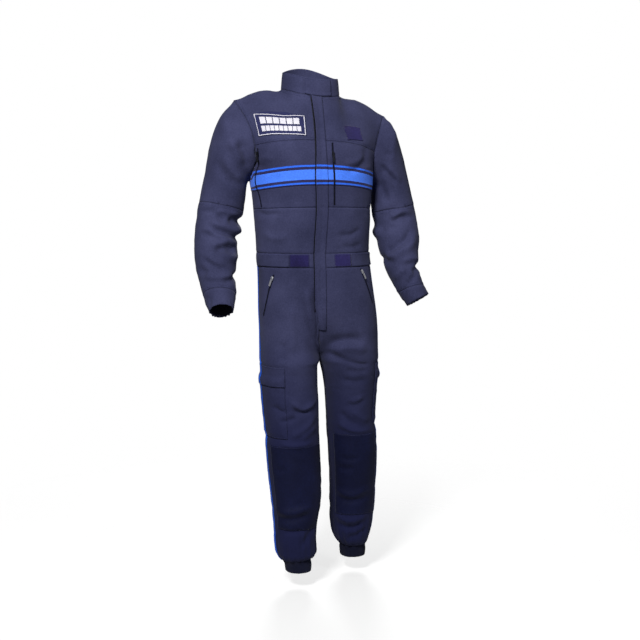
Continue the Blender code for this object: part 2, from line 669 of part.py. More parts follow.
Badge = namedtuple("Badge", "name side colour corners")
# Corners as (share across, row, fraction up): top outer, top inner, bottom inner, bottom outer.
BADGES = [
    Badge("chest_badge", RIGHT, WHITE,
          [(0.870, "yoke_2", 0.31), (0.143, "yoke_1", 0.97),
           (0.148, "yoke_seam", 0.35), (0.875, "yoke_seam", 0.60)]),
    Badge("rank_loop", LEFT, LOOP_NAVY,
          [(0.588, "yoke_1", 0.47), (0.285, "yoke_1", 0.34),
           (0.328, "yoke_seam", 0.22), (0.610, "yoke_seam", 0.43)]),
]


def make_badges(skins):
    """The chest badge and the square of loop tape for the rank."""
    for badge in BADGES:
        grid = skins[badge.side, FRONT]
        names = list(grid)
        corners = [(column_at(badge.side, FRONT, share), names.index(row) + up)
                   for share, row, up in badge.corners]
        outer_top, inner_top, inner_low, outer_low = corners
        rows = []
        for j in range(BADGE_ROWS + 1):
            up = j / BADGE_ROWS
            start, end = mix(inner_low[0], inner_top[0], up), mix(outer_low[0], outer_top[0], up)
            row = []
            for u in lines_between(start, end, 1.0):
                across = (u - start) / (end - start)
                level = mix(mix(inner_low[1], outer_low[1], across),
                            mix(inner_top[1], outer_top[1], across), up)
                row.append(surface(list(grid.values()), u, level))
            rows.append(row)
        overlay(badge.name, along_x(rows, badge.side), badge.colour, FREE_LIFT, TRIM, 0)


# Straps on the waistband: shares across the front, from the centre line.
Strap = namedtuple("Strap", "name side start end colour")
STRAPS = [
    Strap("waist_tab_right", RIGHT, 0.318, 0.985, NAVY),
    Strap("waist_loop_right", RIGHT, 0.096, 0.310, LOOP_NAVY),
    Strap("waist_tab_left", LEFT, 0.350, 0.985, NAVY),
    Strap("waist_loop_left", LEFT, 0.137, 0.342, LOOP_NAVY),
]


def make_straps(skins):
    """The tabs that draw in the waist and the loop tape that they close on."""
    for strap in STRAPS:
        rows = rows_between(skins[strap.side, FRONT], "band_low", "band_top")
        start, end = (column_at(strap.side, FRONT, s) for s in (strap.start, strap.end))
        heights = STRAP_HEIGHTS
        spots = [[surface(rows, u, v) for u in lines_between(start, end, 1.0)] for v in heights]
        overlay(strap.name, along_x(spots, strap.side), strap.colour, LIFT, TRIM, 0)


def make_knees(skins):
    """The second layer over each knee."""
    for side, label in SIDE_NAMES.items():
        rows = patch(skins, side, FRONT, "knee_low", "knee_top", *KNEE_COLUMNS[side])
        overlay(f"knee_patch_{label}", rows, DARK_NAVY)


def pocket_level(across, up):
    """How far the cargo pocket's cloth stands off the leg."""
    return FREE_LIFT + POCKET_BULGE * bump(across) ** 0.5 * bump(up) ** 0.6


def flap_level(across, up):
    """How far the pocket's flap stands off: over the pocket below, and sewn flat at the top."""
    pocket_share = mix(POCKET_SHARE_AT_FLAP, 1, min(2 * up, 1))
    over_pocket = pocket_level(across, pocket_share) + TRIM + LIFT
    return mix(over_pocket, FREE_LIFT, max(2 * up - 1, 0))


def around_side_seam(skins, side, low, high, front_column, back_column):
    """A patch that goes from the front over the side seam to the back."""
    front = rows_between(skins[side, FRONT], low, high)
    back = rows_between(skins[side, BACK], low, high)
    return [f[front_column:] + b[back_column:-1][::-1] for f, b in zip(front, back)]


def make_cargo_pockets(skins):
    """The bellows pockets on the thighs and their flaps."""
    for side, label in SIDE_NAMES.items():
        columns = POCKET_COLUMNS[side]
        rows = pull_in(around_side_seam(skins, side, "pocket_low", "flap_mid", *columns))
        wall(f"cargo_pocket_{label}", rows, pocket_level,
             lambda across, up: pocket_level(across, up) + TRIM, NAVY)
        rows = around_side_seam(skins, side, "flap_low", "flap_top", *columns)
        rows = pull_in(rows, amount=-POCKET_FLAP_OVERHANG, square=False)
        wall(f"cargo_flap_{label}", rows, flap_level,
             lambda across, up: flap_level(across, up) + TRIM, NAVY)


def make_braids(skins):
    """The blue braid down each side seam, over the pocket and its flap."""
    for side, label in SIDE_NAMES.items():
        front, back = skins[side, FRONT], skins[side, BACK]
        names = list(front)
        names = names[:names.index("band_low") + 1]
        seam_column = len(COLUMNS[side, FRONT]) - 1 - POCKET_COLUMNS[side][0]
        columns = seam_column + len(COLUMNS[side, BACK]) - 1 - POCKET_COLUMNS[side][1]
        across = seam_column / columns
        pocket = names[names.index("pocket_low"):names.index("flap_mid") + 1]
        flap = ["flap_low", "flap_mid", "flap_top"]
        rows, levels = [], []
        for name in names:
            seam = front[name][-1]
            edges = []
            for neighbour in (front[name][-2], back[name][-2]):
                reach = BRAID_WIDTH / 2 / (neighbour.point - seam.point).length
                edges.append(blend_spots(seam, neighbour, reach))
            rows.append([edges[0], seam, edges[1]])
            level = FREE_LIFT
            if name in flap:
                level = flap_level(across, flap.index(name) / 2) + TRIM + LIFT
            elif name in pocket:
                level = pocket_level(across, pocket.index(name) / 4) + TRIM + LIFT
            levels.append(level)

        def under(_, up, levels=levels):
            return levels[round(up * (len(levels) - 1))]

        wall(f"side_braid_{label}", pull_in(rows), under,
             lambda across, up, under=under: under(across, up) + BRAID_WALL, BLUE)


# ---------------------------------------------------------------- zips with metal sliders
# path is two or more points (share across, row, fraction up); slider is how far down it sits.
Zip = namedtuple("Zip", "name side path slider lift")
ZIPS = [
    Zip("chest_zip_right", RIGHT, [(0.930, "chest", 0.75), (0.860, "armpit", 0.90),
                                   (0.745, "pocket_seam", 0.12)], 0.12, OVER_TAPE),
    Zip("chest_zip_left", LEFT, [(0.112, "chest", 0.85), (0.105, "armpit", 0.90),
                                 (0.105, "pocket_seam", 0.12)], 0.25, OVER_TAPE),
    Zip("hip_zip_right", RIGHT, [(0.542, "hip", 0.69), (0.790, "fly_low", 0.77)], 0.08,
        FREE_LIFT),
    Zip("hip_zip_left", LEFT, [(0.500, "hip", 0.92), (0.740, "seat", 0.35)], 0.08,
        FREE_LIFT),
]


def zip_line(skins, zip_row, steps=8):
    """Spots along a zip, from its top to its bottom, with unit normals."""
    names = list(skins[zip_row.side, FRONT])
    marks = [(share, names.index(row) + up) for share, row, up in zip_row.path]
    line = []
    for k in range(steps + 1):
        along = k / steps * (len(marks) - 1)
        leg = min(int(along), len(marks) - 2)
        share = mix(marks[leg][0], marks[leg + 1][0], along - leg)
        level = mix(marks[leg][1], marks[leg + 1][1], along - leg)
        spot = surface(list(skins[zip_row.side, FRONT].values()),
                       column_at(zip_row.side, FRONT, share), level)
        line.append(Spot(spot.point, spot.normal.normalized()))
    return line


def make_zips(skins):
    """The four pocket zips: tape, slider and pull tab."""
    for row in ZIPS:
        line = zip_line(skins, row)
        spots = []
        for k, spot in enumerate(line):
            along = line[min(k + 1, len(line) - 1)].point - line[max(k - 1, 0)].point
            across = spot.normal.cross(along).normalized() * ZIP_WIDTH / 2
            spots.append([Spot(spot.point - across, spot.normal), spot,
                          Spot(spot.point + across, spot.normal)])
        overlay(row.name, spots, DARK_NAVY, row.lift, ZIP_WALL, 0)
        at = row.slider * (len(line) - 1)
        k = int(at)
        here = blend_spots(line[k], line[k + 1], at - k)
        down = (line[k + 1].point - line[k].point).normalized()
        out = (here.normal - down * here.normal.dot(down)).normalized()
        base = here.point + out * (row.lift + ZIP_WALL + SEAM)
        frame = Matrix((down.cross(out), down, out)).transposed().to_4x4()
        frame.translation = base
        make_slider(row.name, frame)
        make_pull(row.name, frame)


def make_slider(name, frame):
    """A slider's body, with the narrow hook on it that holds the pull tab."""
    half, top, hook = SLIDER["length"] / 2, SLIDER["body"], SLIDER["hook"] / 2
    bar, slot, thin = SLIDER["bar"], SLIDER["slot"], SLIDER["hook_width"]
    body = [(-half, 0), (half, 0), (half, top), (-hook + bar, top), (-hook, top), (-half, top)]
    arm = [(-hook, top), (-hook + bar, top), (-hook + bar, top + slot), (hook - bar, top + slot),
           (hook - bar, top + SEAM), (hook, top + SEAM), (hook, top + slot + bar),
           (-hook, top + slot + bar)]
    mesh = bmesh.new()
    for outline in (body, arm):
        mesh.faces.new([mesh.verts.new((-thin / 2, along, out)) for along, out in outline])
    bmesh.ops.remove_doubles(mesh, verts=mesh.verts[:], dist=1e-6)
    geometry = mesh.verts[:] + mesh.edges[:] + mesh.faces[:]
    made = bmesh.ops.extrude_face_region(mesh, geom=geometry, use_keep_orig=True)["geom"]
    moved = [item for item in made if isinstance(item, bmesh.types.BMVert)]
    bmesh.ops.translate(mesh, verts=moved, vec=(thin, 0, 0))
    sides = [face for face in mesh.faces if len(face.verts) == len(body)]
    for cheek in bmesh.ops.extrude_discrete_faces(mesh, faces=sides)["faces"]:
        outward = math.copysign((SLIDER["width"] - thin) / 2, cheek.calc_center_median().x)
        bmesh.ops.translate(mesh, verts=cheek.verts[:], vec=(outward, 0, 0))
    bmesh.ops.triangulate(mesh, faces=mesh.faces[:])
    slider = add_object(name.replace("zip", "slider"), mesh, STEEL, 0.35, 1.0)
    slider.matrix_world = frame


def make_pull(name, frame):
    """A pull tab: a plate with a window whose top bar turns in the slider's hook."""
    lines_x = [-PULL["width"] / 2, -PULL["window"] / 2, PULL["window"] / 2, PULL["width"] / 2]
    lines_y = [-PULL["bar"] / 2, PULL["bar"] / 2, PULL["window_end"], PULL["length"]]
    mesh = bmesh.new()
    bmesh.ops.create_grid(mesh, x_segments=3, y_segments=3, size=0.5)
    window = [f for f in mesh.faces if f.calc_center_median().length < 1e-4]
    bmesh.ops.delete(mesh, geom=window, context="FACES")
    for vertex in mesh.verts:
        column, row = round((vertex.co.x + 0.5) * 3), round((vertex.co.y + 0.5) * 3)
        vertex.co = Vector((lines_x[column], lines_y[row], -PULL["bar"] / 2))
    geometry = mesh.verts[:] + mesh.edges[:] + mesh.faces[:]
    made = bmesh.ops.extrude_face_region(mesh, geom=geometry, use_keep_orig=True)["geom"]
    moved = [item for item in made if isinstance(item, bmesh.types.BMVert)]
    bmesh.ops.translate(mesh, verts=moved, vec=(0, 0, PULL["bar"]))
    pull = add_object(name.replace("zip", "pull"), mesh, STEEL, 0.35, 1.0)
    axis = frame.to_3x3().col[0]
    hinge = frame @ Vector((0, 0, SLIDER["body"] + SLIDER["slot"] / 2))
    down, out = frame.to_3x3().col[1], frame.to_3x3().col[2]
    fall = Vector((0, 0, -1)) - axis * -axis.z
    lean = math.atan2(fall.dot(out), fall.dot(down))
    pull.matrix_world = Matrix.Translation(hinge) @ Matrix.Rotation(max(lean, 0), 4, axis) \
        @ frame.to_3x3().to_4x4()
    print(f"joint {pull.name}: point {tuple(round(v, 5) for v in hinge)}, "
          f"axis {tuple(round(v, 5) for v in axis)}, lean {math.degrees(lean):.1f}")


def main():
    for thing in list(bpy.data.objects):
        bpy.data.objects.remove(thing)
    skins = skin()
    make_body(skins)
    make_sleeves(skins)
    make_collar(skins)
    make_ribs(skins)
    make_front_closure(skins)
    make_tapes(skins)
    make_badges(skins)
    make_straps(skins)
    make_knees(skins)
    make_cargo_pockets(skins)
    make_braids(skins)
    make_zips(skins)


main()
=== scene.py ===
# %% [markdown]
# # A police coverall, filled out as it is worn
#
# The imported model already has every sewn piece in its place, as plain faceted walls. This
# lesson turns them into cloth: one smooth skin for the body of the garment, creased along listed
# lines, and then each trim laid on that skin. We load the fixed frame first and keep its box.

# %% Load the frame
import math
from collections import namedtuple

import bmesh
import bpy
import numpy as np
from mathutils import Matrix, Vector, noise
from mathutils.bvhtree import BVHTree
from mathutils.interpolate import poly_3d_calc
from mathutils.kdtree import KDTree


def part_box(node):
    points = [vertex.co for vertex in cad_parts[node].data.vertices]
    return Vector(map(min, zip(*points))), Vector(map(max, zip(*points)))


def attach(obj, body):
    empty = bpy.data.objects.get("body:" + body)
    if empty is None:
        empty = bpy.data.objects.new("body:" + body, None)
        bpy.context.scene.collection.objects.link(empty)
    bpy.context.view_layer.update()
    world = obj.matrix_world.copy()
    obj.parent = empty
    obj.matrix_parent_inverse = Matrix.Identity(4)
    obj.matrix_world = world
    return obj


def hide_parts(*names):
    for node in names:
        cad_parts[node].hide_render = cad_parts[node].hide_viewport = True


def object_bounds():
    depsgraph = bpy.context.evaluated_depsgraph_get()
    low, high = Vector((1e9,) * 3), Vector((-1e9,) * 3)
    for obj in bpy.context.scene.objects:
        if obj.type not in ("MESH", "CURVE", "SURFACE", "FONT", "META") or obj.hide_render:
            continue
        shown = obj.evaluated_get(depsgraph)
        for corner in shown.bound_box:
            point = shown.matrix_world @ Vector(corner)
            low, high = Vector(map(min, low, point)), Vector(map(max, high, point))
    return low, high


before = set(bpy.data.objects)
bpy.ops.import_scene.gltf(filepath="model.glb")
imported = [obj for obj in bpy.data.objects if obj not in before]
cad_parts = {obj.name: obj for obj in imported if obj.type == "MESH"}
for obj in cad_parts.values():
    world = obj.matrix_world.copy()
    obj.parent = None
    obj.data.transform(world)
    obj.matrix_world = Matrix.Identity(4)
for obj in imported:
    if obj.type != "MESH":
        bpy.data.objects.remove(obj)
cad_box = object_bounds()
MM = 0.001
CLOTH_BODY = "garment"
print("nodes in the frame:", len(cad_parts))


def add_object(name, data):
    """A new object in the scene, at the origin."""
    thing = bpy.data.objects.new(name, data)
    bpy.context.scene.collection.objects.link(thing)
    return thing


def add_mesh(name, mesh):
    """A new object made of a bmesh, which is freed."""
    data = bpy.data.meshes.new(name)
    mesh.to_mesh(data)
    mesh.free()
    return add_object(name, data)


def search_tree(points):
    """A tree that finds the nearest of these points."""
    tree = KDTree(len(points))
    for k, point in enumerate(points):
        tree.insert(point, k)
    tree.balance()
    return tree


# %% [markdown]
# ## From a wall to a sheet
#
# Each solid in the frame is a closed wall: an outer sheet, an inner sheet and a narrow rim. We
# want the outer sheet alone, as quads, because quads subdivide smoothly. A flood fill over
# the soft edges finds the sheets, and the outer one is the largest.

# %% Take a wall's outer sheet
SOFT_FOLD = math.radians(50)
SHARPEST_FOLD = 1.6 * SOFT_FOLD
RIM_HEIGHT = 3.2 * MM       # rim triangles are lower than this, and cloth triangles taller
WELD = 0.01 * MM


def is_same_sheet(edge):
    """Whether the faces on both sides of an edge belong to one sheet."""
    if len(edge.link_faces) != 2:
        return False
    if edge.calc_face_angle(0) < SOFT_FOLD:
        return True
    heights = [2 * face.calc_area() / max(e.calc_length() for e in face.edges)
               for face in edge.link_faces]
    return min(heights) > RIM_HEIGHT and edge.calc_face_angle(0) < SHARPEST_FOLD


def outer_sheet(node):
    """The outer side of a CAD wall, as a bmesh of quads."""
    mesh = bmesh.new()
    mesh.from_mesh(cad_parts[node].data)
    bmesh.ops.remove_doubles(mesh, verts=mesh.verts[:], dist=WELD)
    waiting, largest, largest_area = set(mesh.faces), [], 0
    while waiting:
        sheet = [waiting.pop()]
        for face in sheet:
            for edge in face.edges:
                if is_same_sheet(edge):
                    fresh = [f for f in edge.link_faces if f in waiting]
                    waiting.difference_update(fresh)
                    sheet.extend(fresh)
        area = math.fsum(face.calc_area() for face in sheet)
        if area > largest_area:
            largest, largest_area = set(sheet), area
    rest = [face for face in mesh.faces if face not in largest]
    bmesh.ops.delete(mesh, geom=rest, context="FACES")
    bmesh.ops.join_triangles(mesh, faces=mesh.faces[:], angle_face_threshold=math.pi,
                             angle_shape_threshold=math.pi)
    return mesh, largest_area


# %% [markdown]
# ## Smoothing that goes through its points
#
# A subdivision surface shrinks away from its cage. To keep the garment's real size we move the
# cage out until the smooth surface passes through the points where the cage began. Then long
# faces are cut in two until all are small enough to carry a crease.

# %% Round a sheet off and cut it fine
FIT_ROUNDS = 4


def rounded(mesh, name, levels, finest):
    """A fine mesh through the points of a coarse one, with edges no longer than `finest`."""
    thing = add_mesh(name, mesh)
    data = thing.data
    smooth = thing.modifiers.new("smooth", "SUBSURF")
    smooth.levels = smooth.render_levels = levels
    smooth.boundary_smooth = "PRESERVE_CORNERS"
    count = len(data.vertices)
    goal, cage = np.zeros(count * 3), np.zeros(count * 3)
    data.vertices.foreach_get("co", goal)
    data.vertices.foreach_get("co", cage)
    for _ in range(FIT_ROUNDS):
        shown = thing.evaluated_get(bpy.context.evaluated_depsgraph_get()).data
        now = np.zeros(len(shown.vertices) * 3)
        shown.vertices.foreach_get("co", now)
        cage += goal - now[:count * 3]
        data.vertices.foreach_set("co", cage)
        data.update()
    shown = thing.evaluated_get(bpy.context.evaluated_depsgraph_get()).data
    fine = bmesh.new()
    fine.from_mesh(shown)
    bpy.data.objects.remove(thing)
    for limit in (2.4 * finest, 1.2 * finest, finest):
        long_edges = [edge for edge in fine.edges if edge.calc_length() > limit]
        bmesh.ops.subdivide_edges(fine, edges=long_edges, cuts=1, use_grid_fill=True)
    return fine


# %% [markdown]
# ## The body of the garment as one skin
#
# The sewn panels meet edge to edge, so we join their sheets, close the 0.3 mm seams and round
# the whole off at once: that way the cloth flows from panel to panel. Each face remembers its
# panel through its material index, and the skin is taken apart again at the end.

# %% Join the panels
PANELS = sorted(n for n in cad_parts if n.startswith(
    ("yoke_", "chest_front", "waist_front", "waistband_", "body_back", "leg_", "sleeve_",
     "cuff_"))) + ["collar"]
SEAM_REACH = 0.9 * MM       # panels closer than this are sewn into one skin
CLOTH_EDGE = 6.4 * MM       # no edge of the skin is longer

cut_area = {}
joined = bmesh.new()
for index, node in enumerate(PANELS):
    sheet, cut_area[node] = outer_sheet(node)
    for face in sheet.faces:
        face.material_index = index
    part = bpy.data.meshes.new(node)
    sheet.to_mesh(part)
    sheet.free()
    joined.from_mesh(part)
    bpy.data.meshes.remove(part)
bmesh.ops.remove_doubles(joined, verts=joined.verts[:], dist=SEAM_REACH)
open_edges = sum(1 for edge in joined.edges if edge.is_boundary)
print("coarse skin:", len(joined.faces), "faces,", open_edges, "open edges")
skin = rounded(joined, "skin", 2, CLOTH_EDGE)
skin.verts.ensure_lookup_table()
skin.faces.ensure_lookup_table()
print("fine skin:", len(skin.faces), "faces")

# %% [markdown]
# ## Easing the armholes and the chest
#
# Where a sleeve joins, the surfaces meet at an angle that cloth would soften. Averaging each
# point with its neighbours eases it, by a share that falls off with the distance from the seam,
# and that is nothing at the open edges, so that they keep their size.

# %% Ease the skin
ROUNDS, LAST_ROUNDS = 60, 2
EASE_REACH = 30 * MM        # how far from a seam it is eased
ARMHOLE_EASE, CHEST_EASE, LAST_EASE = 0.5, 0.3, 0.4
ARMHOLE_BOTTOM = -0.28      # height of the armhole's lowest point, in metres
RIM_KEPT, RIM_BLEND = 4 * MM, 20 * MM
links = np.array([[v.index for v in edge.verts] for edge in skin.edges])
valence = np.bincount(links.ravel(), minlength=len(skin.verts))[:, None]


def eased(points, share, rounds=ROUNDS):
    """Average each point with its neighbours a number of times, by its own share."""
    for _ in range(rounds):
        mean = np.zeros_like(points)
        for axis in range(3):
            mean[:, axis] = np.bincount(links[:, 0], points[links[:, 1], axis], len(points))
            mean[:, axis] += np.bincount(links[:, 1], points[links[:, 0], axis], len(points))
        points = points + share[:, None] * (mean / valence - points)
    return points


def near_to(points, spots):
    """How far each point is from the nearest of the spots."""
    tree = search_tree(spots)
    return np.array([tree.find(point)[2] for point in points])


raw = np.array([v.co for v in skin.verts])
on_armhole = [v.co for v in skin.verts
              if {PANELS[f.material_index].startswith("sleeve_upper") for f in v.link_faces}
              == {True, False} and v.co.z > ARMHOLE_BOTTOM]
rim = [v.co for v in skin.verts if v.is_boundary
       or any(PANELS[f.material_index] == "collar" for f in v.link_faces)]
share = ARMHOLE_EASE * np.exp(-(near_to(raw, on_armhole) / EASE_REACH) ** 2)
front_of_chest = [any(PANELS[f.material_index].startswith(("yoke_", "chest_front"))
                      for f in v.link_faces) for v in skin.verts]
share = np.maximum(share, CHEST_EASE * np.array(front_of_chest))
share *= np.clip((near_to(raw, rim) - RIM_KEPT) / RIM_BLEND, 0, 1)
smooth_skin = eased(raw, share)
for vertex, point in zip(skin.verts, smooth_skin):
    vertex.co = point
print("eased by up to", round(float(np.abs(smooth_skin - raw).max()) / MM, 1), "mm")

# %% Read the skin into arrays
base = np.array([v.co for v in skin.verts])
skin.normal_update()
normals = np.array([v.normal for v in skin.verts])


def zone(*starts):
    """A share for each point of the skin: 1 on panels whose names start so, else 0."""
    wanted = {k for k, node in enumerate(PANELS) if node.startswith(starts)}
    return np.array([any(f.material_index in wanted for f in v.link_faces)
                     for v in skin.verts], float)


ZONES = {
    "right_sleeve": zone("sleeve_upper_right", "sleeve_lower_right", "cuff_right"),
    "left_sleeve": zone("sleeve_upper_left", "sleeve_lower_left", "cuff_left"),
    "right_leg": zone("leg_front_right", "leg_back_right"),
    "left_leg": zone("leg_front_left", "leg_back_left"),
    "trunk": zone("yoke", "chest", "waist", "body"),
}
seam_verts = [v.index for v in skin.verts if len({f.material_index for f in v.link_faces}) > 1]
seam_distance = near_to(base, [base[k] for k in seam_verts])
print("points on seams:", len(seam_verts))

# %% [markdown]
# ## Creases, listed one by one
#
# A crease is a soft ridge or trough along a short line. Each row below says how high it is, how
# far it reaches above and below its line, and where the line runs, in millimetres, as seen from
# the view's azimuth: across, and up from the base of the neck. A fold that hangs over is steep
# on one side and soft on the other, so the two reaches differ. The depth swells and fades
# along the line, because no real crease is even.

# %% The creases that show from the front
Crease = namedtuple("Crease", "height above below line")
FRONT_VIEW = -15
FRONT_CREASES = {
    "right_sleeve": [
        (-5, 6, 5, [(-325, -350), (-295, -345), (-270, -350)]),
        (-6, 6, 7, [(-270, -350), (-255, -370), (-250, -380)]),
        (4, 8, 6, [(-270, -345), (-235, -350), (-200, -360)]),
        (-8, 9, 8, [(-240, -370), (-215, -375), (-195, -380)]),
        (9, 14, 5, [(-290, -375), (-275, -385), (-245, -395), (-220, -405), (-200, -410)]),
        (-7, 5, 12, [(-290, -380), (-270, -395), (-245, -405), (-215, -420), (-205, -425)]),
        (7, 9, 6, [(-315, -400), (-290, -400), (-265, -415), (-240, -425), (-210, -440)]),
        (-5, 5, 8, [(-315, -410), (-290, -410), (-265, -420), (-240, -435)]),
        (7, 10, 5, [(-290, -450), (-260, -440), (-235, -435), (-215, -445)]),
        (-9, 5, 16, [(-280, -455), (-235, -445), (-215, -460)]),
        (8, 9, 9, [(-265, -465), (-235, -475), (-210, -480)]),
        (5, 12, 4, [(-305, -470), (-270, -490), (-240, -505)]),
        (-5, 4, 8, [(-305, -475), (-270, -495), (-240, -510)]),
        (-6, 8, 6, [(-320, -505), (-300, -515), (-290, -520)]),
        (5, 9, 6, [(-305, -525), (-275, -530), (-235, -530), (-220, -520)]),
        (-6, 5, 8, [(-250, -540), (-225, -535), (-205, -520)]),
        (-6, 12, 12, [(-205, -145), (-185, -185), (-175, -225)]),
        (5, 12, 12, [(-230, -140), (-210, -180), (-195, -220)]),
        (-4, 12, 12, [(-270, -200), (-245, -245), (-205, -280)]),
        (4, 12, 12, [(-250, -175), (-225, -230), (-185, -265)]),
    ],
    "left_sleeve": [
        (-3, 7, 5, [(215, -180), (245, -185)]),
        (-6, 9, 7, [(200, -205), (235, -245), (255, -270)]),
        (5, 8, 12, [(205, -200), (245, -235), (265, -265)]),
        (-7, 14, 14, [(195, -255), (215, -290), (230, -330)]),
        (7, 10, 6, [(230, -375), (255, -360), (275, -350), (305, -360)]),
        (-6, 5, 9, [(235, -385), (270, -365), (300, -370)]),
        (-4, 6, 6, [(230, -400), (260, -395)]),
        (9, 6, 13, [(215, -475), (235, -480), (265, -465), (295, -445), (315, -400)]),
        (-8, 12, 5, [(220, -465), (235, -465), (260, -450), (285, -430), (300, -395)]),
        (-8, 8, 8, [(210, -480), (230, -495), (250, -490)]),
        (5, 8, 5, [(260, -500), (295, -490), (320, -490)]),
        (-4, 5, 7, [(265, -510), (300, -500), (320, -500)]),
        (-9, 6, 8, [(300, -530), (315, -515), (330, -505)]),
        (6, 8, 8, [(245, -555), (265, -525), (285, -515)]),
        (-6, 6, 6, [(280, -575), (300, -545), (320, -520)]),
        (7, 9, 9, [(210, -430), (200, -410), (215, -400)]),
        (-3.2, 14, 16, [(222, -56), (234, -64), (246, -76), (258, -98), (264, -120)]),
    ],
    "left_leg": [
        (-9, 14, 9, [(50, -745), (80, -730), (110, -725), (135, -725), (160, -735)]),
        (6, 10, 16, [(55, -760), (85, -750), (115, -745), (145, -750), (170, -760)]),
        (-5, 9, 7, [(35, -755), (75, -775), (115, -790), (155, -800), (180, -795)]),
        (-3.5, 9, 7, [(95, -815), (140, -820), (180, -815)]),
        (-3.5, 9, 8, [(85, -845), (130, -850), (175, -845)]),
        (4, 8, 6, [(115, -915), (135, -910), (160, -895)]),
        (-3, 6, 9, [(100, -920), (130, -920), (165, -905)]),
        (-4, 9, 9, [(85, -940), (110, -970), (145, -990)]),
        (3.5, 8, 8, [(120, -940), (145, -960), (175, -980)]),
        (5, 7, 5, [(75, -975), (105, -995), (140, -1005), (190, -1005)]),
        (-3, 9, 7, [(80, -1085), (115, -1095), (155, -1085)]),
        (-3, 9, 7, [(80, -1120), (110, -1125), (135, -1120)]),
        (4, 9, 8, [(75, -1195), (120, -1210), (175, -1190)]),
        (-4, 8, 8, [(80, -1220), (125, -1230), (185, -1220)]),
        (4, 9, 8, [(70, -1280), (120, -1295), (180, -1280)]),
        (-5, 8, 8, [(75, -1305), (120, -1320), (170, -1300)]),
        (-4, 8, 8, [(105, -1360), (140, -1345), (175, -1325)]),
    ],
    "right_leg": [
        (6, 9, 5, [(-65, -895), (-40, -915), (-20, -925), (0, -915), (20, -900)]),
        (-5, 4, 9, [(-55, -915), (-35, -930), (-15, -930), (0, -925)]),
        (-4, 8, 8, [(-110, -910), (-90, -925), (-65, -935)]),
        (-4, 9, 8, [(-95, -960), (-65, -955), (-35, -945)]),
        (4, 9, 9, [(-65, -1005), (-30, -990), (-5, -970), (15, -935)]),
        (3.5, 8, 8, [(-30, -1015), (-5, -995), (15, -975)]),
        (5, 6, 5, [(-95, -1025), (-45, -1030), (10, -1025)]),
        (-4, 12, 12, [(-85, -720), (-80, -755), (-80, -790)]),
        (4, 14, 14, [(-55, -600), (-55, -690), (-50, -765)]),
        (-10, 7, 7, [(10, -550), (15, -630), (25, -705), (30, -755)]),
        (7, 11, 11, [(-15, -560), (-5, -635), (5, -725)]),
        (-4, 9, 8, [(-110, -1250), (-55, -1250), (10, -1235)]),
        (4, 9, 9, [(-105, -1230), (-55, -1230), (15, -1210)]),
        (-4, 9, 8, [(-100, -1290), (-55, -1290), (-15, -1285)]),
        (-4, 8, 8, [(-30, -1340), (-10, -1310), (10, -1275)]),
        (-3, 9, 7, [(-110, -1100), (-90, -1105), (-70, -1100)]),
    ],
    "trunk": [
        (-6, 12, 12, [(-180, -145), (-170, -180), (-170, -220)]),
        (5, 10, 14, [(-190, -105), (-180, -145), (-170, -175)]),
        (-4, 14, 14, [(170, -150), (160, -185), (165, -225)]),
        (-3, 10, 10, [(60, -570), (100, -550), (160, -540)]),
        (3, 10, 10, [(-140, -405), (-105, -425), (-55, -415)]),
        (-4, 7, 9, [(-175, -190), (-150, -215), (-120, -222)]),
        (3, 8, 8, [(-165, -175), (-135, -195), (-95, -198)]),
        (-4, 8, 8, [(165, -195), (135, -225), (100, -235)]),
        (3, 8, 9, [(160, -180), (130, -205), (90, -212)]),
        (-3, 7, 7, [(-165, -340), (-130, -356), (-80, -352)]),
        (-4, 6, 8, [(150, -395), (115, -415), (70, -412)]),
        (-3, 6, 8, [(155, -440), (120, -450), (85, -446)]),
        (-4, 8, 8, [(70, -560), (85, -620), (110, -665)]),
        (3, 8, 8, [(95, -560), (110, -615), (140, -655)]),
        (-3, 7, 7, [(45, -590), (52, -640), (50, -690)]),
        (-4, 9, 9, [(-100, -560), (-95, -620), (-85, -680)]),
        (3, 9, 9, [(-80, -570), (-72, -640), (-66, -700)]),
    ],
}

# %% [markdown]
# ## Pressing the creases in
#
# For each crease we look at the skin from its view, measure how far every point lies from the
# line, and push it along its normal. A mask lets the crease fade as the cloth turns away.

# %% A function that presses one crease
LINE_STEPS = 40
FADE = 0.28                 # share of a crease's length over which it fades at each end
FARTHEST = 2.6              # widths from its line at which a crease has died away
UNEVEN, LUMPS = 0.35, 5     # how much its height varies, and how often along its length
TURNED_AWAY, IN_VIEW = -0.55, 0.05    # cosines to the view between which it fades in


def view_axes(azimuth):
    """Right, and towards the viewer, for a level view from this azimuth."""
    turn = math.radians(azimuth)
    return (np.array([math.cos(turn), math.sin(turn), 0]),
            np.array([math.sin(turn), -math.cos(turn), 0]))


def smoothstep(low, high, value):
    """0 below low, 1 above high, and a soft ramp between."""
    share = np.clip((value - low) / (high - low), 0, 1)
    return share * share * (3 - 2 * share)


def smooth_line(points):
    """Points on a smooth curve through the given ones, by cubic blending."""
    ends = [2 * points[0] - points[1], *points, 2 * points[-1] - points[-2]]
    steps = max(6, LINE_STEPS // len(points))
    line = []
    for a, b, c, d in zip(ends, ends[1:], ends[2:], ends[3:]):
        for k in range(steps):
            t = k / steps
            line.append(0.5 * (2 * b + (c - a) * t + (2 * a - 5 * b + 4 * c - d) * t * t
                               + (3 * b - a - 3 * c + d) * t ** 3))
    return np.array(line + [points[-1]])


